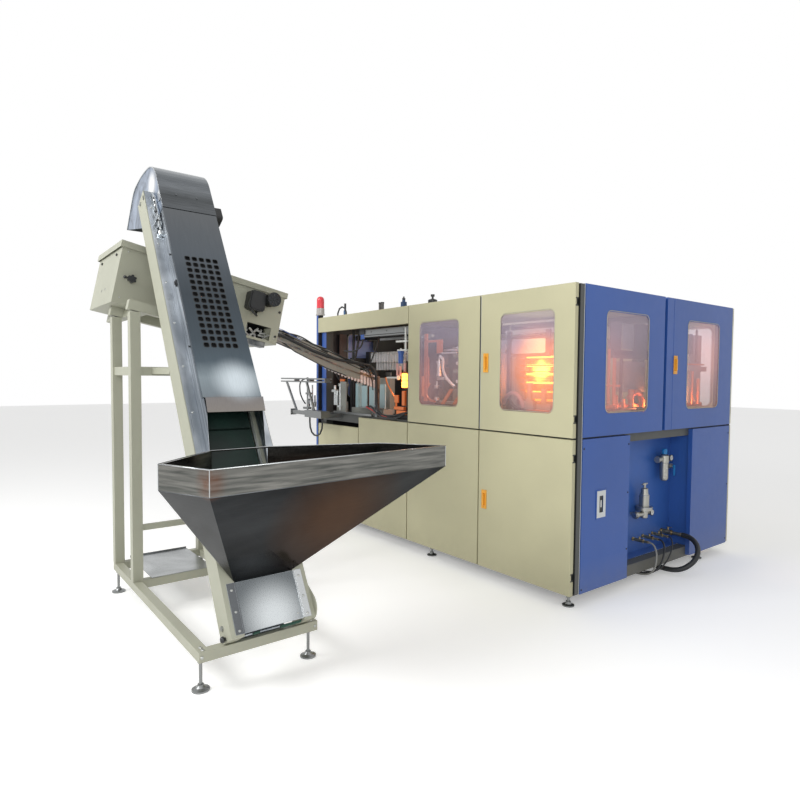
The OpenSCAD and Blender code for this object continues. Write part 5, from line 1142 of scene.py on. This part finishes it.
new_piece("clamp_arms_lit", add_diagonals, orange_lit_metal)
parts_piece("clamp_cylinders", silver,
    blocks=[
        ((-1470, 120, 1470), (-1380, 160, 1496)), ((-1260, 150, 1290), (-1150, 190, 1330)),
        ((-1560, 180, 1270), (-1150, 200, 1296)),
    ],
    rods=[((-1390, 104, 1692), (-1210, 104, 1690), 7), ((-1390, 130, 1716), (-1180, 130, 1714), 9)],
    turned=[
        ((-1428, 110, 1500), UPWARD, PNEUMATIC), ((-1500, 150, 1300), UPWARD, PNEUMATIC),
        ((-1180, 140, 1290), UPWARD, PNEUMATIC),
    ],
    screws=[(OUT_OF_FRONT, 6, [(-1240, 150, 1310), (-1170, 150, 1310)])],
)
parts_piece("clamp_valves", machine_black,
    blocks=[
        ((-1540, 190, 1600), (-1460, 240, 1700)), ((-1540, 192, 1480), (-1450, 240, 1580)),
        ((-1360, 200, 1560), (-1130, 230, 1660)), ((-1350, 200, 1400), (-1120, 240, 1530)),
        ((-1520, 120, 1330), (-1440, 170, 1400)), ((-1640, 240, 1750), (-960, 270, 1900)),
    ],
)
cable("clamp_hose_pale", [
    (-1414, 104, 1668), (-1372, 100, 1640), (-1366, 98, 1570), (-1340, 98, 1510), (-1296, 100, 1464),
    (-1240, 110, 1420),
], 11, white_trim)
cable("clamp_hose_dark", [
    (-1500, 190, 1640), (-1460, 150, 1690), (-1400, 130, 1660), (-1390, 130, 1560), (-1420, 140, 1440),
    (-1380, 150, 1340),
], 9, black_hose)
cable("clamp_hose_low", [
    (-1560, 120, 1440), (-1590, 110, 1380), (-1550, 104, 1310), (-1470, 104, 1290),
], 10, orange_lit_metal)
parts_piece("clamp_fittings", white_trim, rods=[
    ((x, y, z), (x, y + 10, z), radius)
    for x, y, z, radius in (
        (-1500, 180, 1660, 12), (-1500, 180, 1540, 12), (-1240, 190, 1610, 14),
        (-1180, 190, 1610, 14), (-1300, 190, 1610, 14), (-1300, 190, 1460, 14),
    )
])

parts_piece("oven_front_frame", liner_brown,
    blocks=[
        ((-760, 196, 1150), (-724, 216, 1840)), ((-400, 196, 1660), (-364, 216, 1840)),
        ((-760, 194, 1780), (-364, 216, 1800)), ((-760, 194, 1648), (-364, 216, 1668)),
        ((-700, 250, 1290), (-560, 290, 1340)), ((-690, 230, 1200), (-600, 280, 1270)),
    ],
)


def add_front_pane(bm):
    """Pane in the upper opening of the oven's front frame, 4 mm thick."""
    edge = rounded_edge(at(-722, 204, 1672), ALONG_X, UPWARD, 320, 104, 26)
    add_prism(bm, edge, ALONG_Y * 4 * MM)


def add_heat_shield(bm):
    """Upright shield behind the lamps, 3 mm thick."""
    edge = rounded_edge(at(-790, 470, 1400), ALONG_X, UPWARD, 290, 310, 60)
    add_prism(bm, edge, ALONG_Y * 3 * MM)


new_piece("oven_front_pane", add_front_pane, lit_reflector())
new_piece("oven_heat_shield", add_heat_shield, heat_shield())
parts_piece("oven_shelves_lit", orange_lit_metal,
    blocks=[
        ((-700, 240, 1240), (-420, 300, 1262)), ((-640, 210, 1300), (-430, 230, 1320)),
    ] + [((-720, 300, 1400 + 46 * i), (-420, 326, 1406 + 46 * i)) for i in range(6)],
)
cable("oven_hose_lit", [
    (-740, 150, 1300), (-690, 140, 1370), (-620, 140, 1380), (-570, 150, 1330), (-560, 160, 1280),
], 14, pink_tube)
cable("oven_hose_dark", [
    (-760, 170, 1290), (-700, 160, 1330), (-650, 150, 1290), (-600, 160, 1270),
], 12, black_hose)
parts_piece("oven_valves", machine_grey,
    blocks=[((-560, 160, 1270), (-470, 200, 1330)), ((-450, 170, 1270), (-330, 210, 1310))],
    turned=[((-520, 180, 1330), UPWARD, PNEUMATIC[:7]), ((-400, 190, 1310), UPWARD, PNEUMATIC[:5])],
)

# End of the cabinet: corner channels, lock rim, gauges and screws

parts_piece("corner_channels", frame_grey,
    blocks=[((-34, 40, 96), (-2, 85, 2096)), ((-34, 2169, 96), (-2, 2173, 2096), 0.5)],
)
# Silver edges of the channels: painted highlights on the folds beside the end panels
parts_piece("corner_channel_edges", silver,
    blocks=[((-4, 82, 96), (-1, 86, 2096), 0.6), ((-3, 2169.4, 96), (-1, 2172.6, 2096), 0.4)],
)
parts_piece("corner_channel_seals", machine_black,
    blocks=[((-20, 38, 96), (-1.5, 42, 2096), 0.8), ((-30, 86.2, 1112), (-6, 87.4, 2094), 0.4)],
)
parts_piece("lock_rim", silver,
    blocks=[
        ((3.4, 256, 568), (5.2, 284, 748), 0.8), ((3.4, 326, 568), (5.2, 354, 748), 0.8),
        ((3.4, 283, 568), (5.2, 327, 602), 0.8), ((3.4, 283, 714), (5.2, 327, 748), 0.8),
        ((1.2, 298, 636), (3, 312, 684), 0.8),
    ],
)
parts_piece("lock_slot", machine_black,
    blocks=[((-1.5, 284, 601), (1, 326, 715), 0.5)],
)
END_PANEL_SCREWS = (
    (108, 116), (108, 1040), (625, 1040), (625, 700), (625, 300), (2148, 1040), (2148, 600), (2148, 130)
)
parts_piece("end_panel_screws", machine_black,
    screws=[(OUT_OF_END, 6, [(0, y, z) for y, z in END_PANEL_SCREWS])],
)

# Gauges on the filter regulator and on the high pressure regulator, as (y, z)
GAUGES = ((1430, 867), (REGULATOR_Y + 82, 464))
parts_piece("gauge_bezels", black_plastic,
    turned=[((-118, y, z), OUT_OF_END, [(25.5, 0), (25.5, 4), (22, 5), (21, 2.4)]) for y, z in GAUGES],
)
parts_piece("gauge_dials", white_trim,
    turned=[((-114, y, z), OUT_OF_END, [(20, 0), (20, 0.8), (2, 1), (2, 2)]) for y, z in GAUGES],
)
parts_piece("gauge_needles", machine_black,
    rods=[((-112.4, y - 4, z - 4), (-112.4, y + 9, z + 10), 1.2) for y, z in GAUGES],
)
parts_piece("regulator_ports", turned_steel,
    turned=[
        ((-136, 1268, 867), OUT_OF_FRONT, [(15, 0), (19, 2), (19, 12), (15, 14)]),
        ((-136, REGULATOR_Y - 122, 464), OUT_OF_FRONT, [(18, 0), (22, 2), (22, 14), (16, 16)]),
        ((-136, REGULATOR_Y, 600), UPWARD, [(36, 0), (38, 1), (38, 8), (36, 9)]),
        ((-136, REGULATOR_Y, 512), UPWARD, [(61, 0), (63, 1), (63, 7), (61, 8)]),
    ],
)

# Seen through the end windows
parts_piece("end_frame_panels", liner_brown,
    blocks=[
        ((-128, 560, 1700), (-122, 700, 1900)), ((-136, 560, 1640), (-100, 1040, 1700)),
        ((-130, 860, 1700), (-120, 1040, 1900)), ((-170, 1500, 1250), (-160, 1640, 1900)),
    ],
)
parts_piece("end_frame_boxes", machine_grey,
    blocks=[
        ((-180, 720, 1400), (-110, 1000, 1620)), ((-125, 706, 1706), (-120, 850, 1890)),
        ((-190, 1700, 1300), (-130, 1900, 1860)), ((-150, 1560, 1560), (-110, 1960, 1600)),
    ],
    screws=[
        (OUT_OF_END, 8, [(-110, y, z) for z in (1580, 1440) for y in (760, 960)]),
    ],
)
parts_piece("end_frame_lit", orange_lit_metal,
    blocks=[
        ((-100, 560, 1270), (-90, 590, 1640)), ((-140, 560, 1290), (-100, 1000, 1310)),
        ((-150, 1540, 1270), (-140, 1960, 1300)), ((-96, 350, 1440), (-86, 640, 1452)),
        ((-110, 1480, 1290), (-96, 1500, 1880)), ((-110, 1480, 1610), (-100, 1900, 1622)),
    ],
    rods=[
        ((-110, 620, 1280), (-110, 620, 1380), 16), ((-110, 700, 1280), (-110, 700, 1350), 20),
        ((-90, 500, 1320), (-90, 500, 1700), 9), ((-90, 380, 1330), (-90, 380, 1620), 7),
        ((-100, 1700, 1290), (-100, 1700, 1560), 10), ((-100, 1800, 1290), (-100, 1800, 1500), 14),
        ((-90, 440, 1290), (-90, 560, 1300), 16),
    ],
    turned=[((-100, 800, 1290), UPWARD, PNEUMATIC[:7])],
)
parts_piece("end_frame_dark", machine_black,
    blocks=[
        ((-112, 340, 1660), (-100, 840, 1690)), ((-108, 400, 1500), (-98, 480, 1640)),
        ((-108, 1560, 1700), (-98, 1700, 1860)), ((-104, 1740, 1640), (-94, 1760, 1900)),
        ((-104, 340, 1270), (-90, 860, 1284)),
    ],
    rods=[((-96, 660, 1330), (-96, 660, 1640), 12)],
)


RIB_PITCH = 9


def corrugated(name, points, radius, material):
    """A ribbed hose: rings set along its centreline."""
    way = [at(*p) for p in points]
    valley = radius - 3
    ring = [(valley, 0), (radius, 2), (radius, 4.5), (valley, 6.5), (valley, RIB_PITCH + 0.2)]

    def build(bm):
        for a, b in zip(way, way[1:]):
            steps = max(1, round((b - a).length / (RIB_PITCH * MM)))
            for k in range(steps):
                add_turned(bm, facing(a.lerp(b, k / steps), b - a), ring, 18)

    return new_piece(name, build, material)


corrugated("end_hose_lit", [
    (-90, 930, 1290), (-88, 925, 1340), (-90, 900, 1385), (-96, 860, 1400), (-104, 815, 1385),
    (-110, 790, 1350),
], 22, orange_lit_metal)
corrugated("bay_conduit", [
    (-2180, 9, 1236), (-2180, 9, 1300), (-2180, 9, 1400), (-2180, 9, 1490),
], 17, black_plastic)

# Lower elevator: plate, strips and bolts

parts_piece("boot_plate", boot_plate_finish(),
    blocks=[((86.2, -2046, -56), (87.4, -1739, 184), 0.4)],
    place=on_elevator,
)
# Both strips are the same steel: the near one has the dark tone as painted shade, the far one the bright
# tone as a painted highlight.
parts_piece("boot_strip_near", strip_dark,
    blocks=[((93.5, -2091, -57), (95, -2053, 184), 0.5), ((87.6, -2051, -57), (93, -2047, 184), 0.5)],
    place=on_elevator,
)
parts_piece("boot_strip_far", strip_bright,
    blocks=[((93.5, -1732, -57), (95, -1694, 184), 0.5), ((87.6, -1738, -57), (93, -1734, 184), 0.5)],
    place=on_elevator,
)
parts_piece("boot_screws", zinc_steel,
    screws=[
        (OUT_OF_COVER, 6.5, [(95, y, u) for y in (-2072, -1713) for u in (-42, 46, 150)]),
        (OUT_OF_COVER, 5, [(87.4, -1760, -30)]),
    ],
    place=on_elevator,
)


OUTLET_LIP_WIDTH = 311
OUTLET_LIP_THICKNESS = 1.2


def add_outlet_lip(bm):
    """The hopper's front sheet carried on down to the boot plate."""
    low, high = on_elevator(88.4, -2048, 187.5), on_elevator(149.6, -2048, 223)
    across = ALONG_Y * OUTLET_LIP_WIDTH * MM
    thick = (on_elevator(0, 0, 1) - on_elevator(0.57, 0, 0)) * OUTLET_LIP_THICKNESS
    add_prism(bm, [low, high, high + across, low + across], thick)


new_piece("hopper_outlet_lip", add_outlet_lip, hopper_sheet)
parts_piece("beam_end_knob", black_plastic,
    turned=[((12, -2116, -52), OUT_OF_FRONT, [(9, 0), (9, 6), (15, 8), (16, 16), (12, 22), (5, 24)])],
    place=on_elevator, smooth=True,
)
parts_piece("beam_flange_screws", zinc_steel,
    screws=[(OUT_OF_COVER, 6, [(93.4, y, 830 + 290 * i) for y in (-2086, -1702) for i in range(7)])],
    place=on_elevator,
)
parts_piece("casing_latch", machine_black,
    blocks=[
        ((150, -2060, 1918), (172, -2052, 1956), 1.5), ((156, -2066, 1926), (166, -2058, 1948), 1.5),
    ],
    rods=[((160, -2054, 2150), (160, -2060, 2150), 6), ((160, -2054, 1500), (160, -2060, 1500), 6)],
    place=on_elevator,
)
parts_piece("boot_bar_felt", green_felt,
    blocks=[((40, -1850, -74), (74, -1744, -62), 2), ((30, -1990, -70), (60, -1960, -60), 2)],
    place=on_elevator,
)

# Rims of the cover's vents: pitch across and up the incline, the first hole's centre, and for
# each ring how far it lies outside the hole, its corner radius and its height
VENT_PITCH = (42, 43.7)
VENT_SIZE = 29
VENT_ROWS, VENT_COLUMNS = 15, 5
VENT_FIRST = (-1976.5, 1484.1)
VENT_RIM = ((-1.5, 8, COVER_FACE - 2), (-1.5, 8, COVER_FACE + 0.5), (2.6, 11, COVER_FACE + 0.3))


def vent_ring(y, u, outside, radius, n):
    """Points of a rounded square round the hole at y and u."""
    reach = VENT_SIZE / 2 + outside - radius
    points = []
    for side_y, side_u, start in ((1, -1, -90), (1, 1, 0), (-1, 1, 90), (-1, -1, 180)):
        for step in range(4):
            angle = math.radians(start + 30 * step)
            across = side_y * reach + radius * math.cos(angle)
            along = side_u * reach + radius * math.sin(angle)
            points.append(on_elevator(n, y + across, u + along))
    return points


def add_vent_rims(bm):
    """A rolled edge round each hole of the cover's vents, painted black as the shade at the hole's edge.
    """
    for row in range(VENT_ROWS):
        for column in range(VENT_COLUMNS):
            y = VENT_FIRST[0] + VENT_PITCH[0] * column
            u = VENT_FIRST[1] + VENT_PITCH[1] * row
            bridge(bm, [[bm.verts.new(p) for p in vent_ring(y, u, *rim)] for rim in VENT_RIM])


new_piece("vent_rims", add_vent_rims, vent_black)
# A black sheet behind the vents: painted shade for the dark inside of the cover
parts_piece("vent_shade", painted_shade_black,
    blocks=[((186, -2046, 1400), (187.5, -1739, 2180), 0.3)],
    place=on_elevator,
)

# Hood: how far up the incline it starts, how far its first bend's centre lies past the head
# roller, its bends as (radius, start and sweep in degrees, steps), and the straight sheet after
# them as (length, direction in degrees)
HOOD_START = 2492
HOOD_PAST_HEAD = 41
HOOD_BENDS = ((217, 30.7, 59.3, 12), (1024, 92, 14, 5), (200, 108, 32, 6))
HOOD_TAIL = (236, 230)

# Near cheek: a bright sheet inside the bent one, from the casing's wall upwards
CHEEK_Y = -2056
CHEEK_FOOT = [(-140, 2620), (-58, HOOD_START)]


def hood_outline():
    """Points (n, u) of the hood's inner line, as it is bent round the head roller."""
    cos, sin = math.cos(INCLINE), math.sin(INCLINE)

    def level(n, u):
        """A point of the incline turned to level ground, from the head roller's axis."""
        return Vector((n * sin - u * cos, n * cos + u * sin))

    def spoke(centre, radius, degrees):
        """The point at a radius and an angle round a centre."""
        angle = math.radians(degrees)
        return centre + Vector((math.cos(angle), math.sin(angle))) * radius

    first, second, third = (bend[0] for bend in HOOD_BENDS)
    top = level(COVER_FACE - first, HOOD_PAST_HEAD)
    back = top + Vector((0, first - second))
    low = spoke(back, second - third, HOOD_BENDS[2][1])
    line = [level(COVER_FACE, HOOD_START - ELEVATOR_LENGTH)]
    for centre, (radius, start, sweep, steps) in zip((top, back, low), HOOD_BENDS):
        line += [spoke(centre, radius, start + sweep * i / steps) for i in range(steps + 1)]
    line.append(spoke(line[-1], *HOOD_TAIL))
    return [(x * sin + z * cos, -x * cos + z * sin + ELEVATOR_LENGTH) for x, z in line]


def add_hood_cheek(bm):
    """The hood's outline closed along the beam, 2.4 mm thick."""
    outline = hood_outline() + CHEEK_FOOT
    add_prism(bm, [on_elevator(n, CHEEK_Y, u) for n, u in outline], ALONG_Y * 2.4 * MM)


new_piece("hood_near_cheek", add_hood_cheek, hood_cheek_finish())
cable("hood_edge_roll", [(n, CHEEK_Y - 1.5, u) for n, u in hood_outline()], 3, strip_bright, on_elevator)
parts_piece("hood_rivets", strip_dark,
    turned=[
        ((COVER_FACE + 4, y, 2600), OUT_OF_COVER, [(7, 0), (7, 2), (3, 4)]) for y in (-1960, -1830)
    ],
    place=on_elevator,
)
parts_piece("belt_tensioner", strip_bright,
    blocks=[
        ((96, -2072, 2490), (112, -2058, 2690), 2), ((124, -2068, 2440), (136, -2058, 2640), 2),
        ((92, -2076, 2470), (144, -2058, 2496), 3), ((100, -2078, 2400), (138, -2058, 2430), 4),
    ],
    rods=[((118, -2064, 2380), (118, -2064, 2660), 6)],
    turned=[
        ((118, -2064, 2560), UP_THE_INCLINE, [(14, 0), (14, 12)]),
        ((118, -2064, 2600), UP_THE_INCLINE, [(14, 0), (14, 12)]),
        ((108, -2064, 2340), UP_THE_INCLINE, [(13, 0), (16, 10), (16, 26), (10, 40)]),
    ],
    place=on_elevator,
)
parts_piece("belt_tensioner_slots", machine_black,
    blocks=[((64, -2117, 2650), (80, -2112, 2680), 1), ((112.5, -2070, 2500), (123, -2060, 2640), 1)],
    rods=[
        ((118, -2078, 2450), (118, -2070, 2450), 9), ((118, -2078, 2520), (118, -2070, 2520), 8),
        ((104, -2078, 2380), (104, -2060, 2380), 8),
    ],
    place=on_elevator,
)

# Corners of the hopper's rim
RIM_CORNERS = [(-128, -2287), (-230, -885), (-550, -1115), (-754, -1731), (-754, -2054), (-420, -2410)]
closed_strip("hopper_rim_edge", [at(x, y, 1104.5) for x, y in RIM_CORNERS], 2.4, strip_bright)
closed_strip("hopper_band_fold", [at(x, y, HOPPER_BAND_Z) for x, y in RIM_CORNERS], 1.8, strip_dark)
for number, (x, y) in enumerate(RIM_CORNERS):
    weld = [(x, y, HOPPER_BAND_Z + 2), (x, y, 1045), (x, y, 1103)]
    cable(f"hopper_weld_{number}", weld, 2.2, strip_bright)
parts_piece("hopper_bracket_bolts", zinc_steel,
    screws=[(Vector((-0.7, -0.6, -0.4)), 8, [(-640, -2185, 905)])],
)

# Sorter box and frame trim

parts_piece("sorter_screws", zinc_steel,
    screws=[(OUT_OF_SORTER, 5, [(1, y, z) for y in (40, 330, 620, 1140) for z in (40, 345)])],
    place=on_sorter,
)
parts_piece("sorter_end_bolts", machine_black,
    rods=[
        ((-120, 0, 330), (-120, -9, 330), 9), ((-560, 0, 330), (-560, -9, 330), 9),
        ((0, 1150, 60), (8, 1150, 60), 9), ((0, 1150, 250), (8, 1150, 250), 9),
    ],
    place=on_sorter,
)
parts_piece("base_corner_screws", zinc_steel,
    screws=[
        (UPWARD, 9, [(x, y, 205) for x in (-440, -472) for y in (-2212, -1640)]),
        (OUT_OF_END, 8, [(-420, y, 180) for y in (-2222, -1625)])
    ],
)
cable("sorter_motor_lead", [
    (12, 900, 230), (60, 890, 205), (90, 905, 180), (70, 945, 165), (20, 960, 190), (6, 980, 230),
], 7, black_hose, on_sorter)

FAN_CENTRE = (124.6, 1038, 308)
parts_piece("fan_cover_rings", dark_steel,
    turned=[
        (FAN_CENTRE, OUT_OF_SORTER, [(50, 0), (50, 2), (45, 2.4), (45, 0.4)]),
        (FAN_CENTRE, OUT_OF_SORTER, [(14, 0), (14, 2.4), (8, 3)]),
    ],
    place=on_sorter,
)

# Directions of the fan cover's eight slots, as (cosine, sine)
FAN_SLOTS = [(math.cos(a), math.sin(a)) for a in (math.radians(22.5 + 45 * k) for k in range(8))]
parts_piece("fan_cover_slots", black_plastic,
    rods=[
        ((126, 1038 + 17 * c, 308 + 17 * s), (126, 1038 + 43 * c, 308 + 43 * s), 4)
        for c, s in FAN_SLOTS
    ],
    place=on_sorter,
)


def add_waiting_preforms(bm):
    """Preforms lying on the sorter's floor, seen through its window. They are drawn at a
    little over half the real size."""
    slim = [(radius * 0.55, height * 0.6) for radius, height in PREFORM_PROFILE]
    for i in range(14):
        spot = on_sorter(-60 - 12 * (i % 3), 925 + 13 * i, 28 + 19 * (i % 4))
        lean = Vector((-0.3, 0.5 + 0.4 * math.sin(i * 2.1), 0.5 * math.cos(i * 3.3)))
        add_turned(bm, facing(spot, lean), slim, 10)


new_piece("sorter_window_preforms", add_waiting_preforms, white_trim, smooth=True)
# Black sheets inside the sorter's window: painted shade for its dark inside
parts_piece("sorter_window_dark", painted_shade_black,
    blocks=[
        ((-160, 905, 12), (-154, 1120, 130), 0.5), ((-154, 905, 12), (-8, 1120, 15), 0.5),
        ((-154, 905, 122), (-8, 1120, 125), 0.5),
    ],
    place=on_sorter,
)

# Floor, background and light


def seen_directly(tree):
    """1 where the camera, a reflection or a view through glass meets the background."""
    seen = None
    for ray in ("Is Camera Ray", "Is Transmission Ray", "Is Glossy Ray"):
        one = add(tree, "LightPath", output=ray)
        seen = add(tree, "Math", {"operation": "MAXIMUM"}, {0: seen, 1: one}) if seen else one
    return seen


FLOOR_HALF = 30
FLOOR_LIFT = 0.26
AMBIENT, WHITE = 0.54, 1.0


def make_floor():
    """Pale floor that keeps the machine's shadow."""
    mesh = bpy.data.meshes.new("floor")
    corners = [(x * FLOOR_HALF, y * FLOOR_HALF, 0) for x, y in ((-1, -1), (1, -1), (1, 1), (-1, 1))]
    mesh.from_pydata(corners, [], [(0, 1, 2, 3)])
    floor = stand_in_scene("floor", mesh)
    material, tree, shader = new_finish(
        "studio_floor", "#F7F7F6", Roughness=0.9, Emission_Color=linear("#FFFFFF")
    )
    lift = {"operation": "MULTIPLY", 1: FLOOR_LIFT}
    feed(shader, Emission_Strength=add(tree, "Math", lift, {0: seen_directly(tree)}))
    mesh.materials.append(material)


def make_background():
    """A world that lights the machine softly and shows white behind it."""
    world = bpy.data.worlds.new("studio")
    bpy.context.scene.world = world
    world.use_nodes = True
    tree = world.node_tree
    tree.nodes.clear()
    levels = {"To Min": AMBIENT, "To Max": WHITE}
    strength = add(tree, "MapRange", levels, {"Value": seen_directly(tree)})
    background = add(tree, "Background", {"Color": (1, 1, 1, 1)}, {"Strength": strength})
    add(tree, "OutputWorld", {}, {"Surface": background})


def area_light(name, place, target, size, power, colour="#FFFFFF"):
    """A soft light at a place, turned to a target. Its size is in metres, its power in watts."""
    light = bpy.data.lights.new(name, "AREA")
    light.shape = "RECTANGLE"
    light.size, light.size_y = size
    light.energy = power
    light.color = linear(colour)[:3]
    stand = stand_in_scene(name, light)
    stand.location = place
    stand.rotation_mode = "QUATERNION"
    stand.rotation_quaternion = (Vector(target) - Vector(place)).to_track_quat("-Z", "Y")


make_floor()
make_background()
area_light("key", (-2.0, -6.4, 4.6), (-0.8, -0.6, 1.0), (2.8, 2.2), 235)
area_light("corner_fill", (2.9, -3.4, 2.2), (-0.2, 0.2, 0.8), (1.8, 1.8), 62)

# Inside the cabinet: the oven's light on the parts near it, and the light under the roof
INSIDE_LIGHTS = [
    ("bay_lamp", (-1840, 130, 1470), (-2100, 330, 1300), (0.08, 0.08), 1.0, "#FF9A4A"),
    ("clamp_lamp", (-930, 300, 1480), (-1500, 150, 1500), (0.2, 0.2), 4, "#FF8A4A"),
    ("window_fill", (-1300, 190, 2030), (-1350, 230, 1400), (0.14, 0.14), 4, "#E8E4FF"),
    ("end_fill", (-220, 1300, 2030), (-260, 1200, 1400), (0.14, 0.14), 6, "#FFD8C4"),
    ("end_lamp", (-60, 960, 1300), (-130, 700, 1500), (0.1, 0.1), 1.6, "#FF8A50"),
    ("end_lamp_far", (-60, 1560, 1300), (-130, 1750, 1500), (0.1, 0.1), 1.6, "#FF9A6A"),
    ("inside_light", (-1300, 1100, 2060), (-1300, 1100, 0), (2.4, 1.4), 24, "#FFF1E0"),
]
for name, place, target, size, power, colour in INSIDE_LIGHTS:
    area_light(name, at(*place), at(*target), size, power, colour)

# View transform of the render

bpy.context.scene.view_settings.view_transform = "Standard"
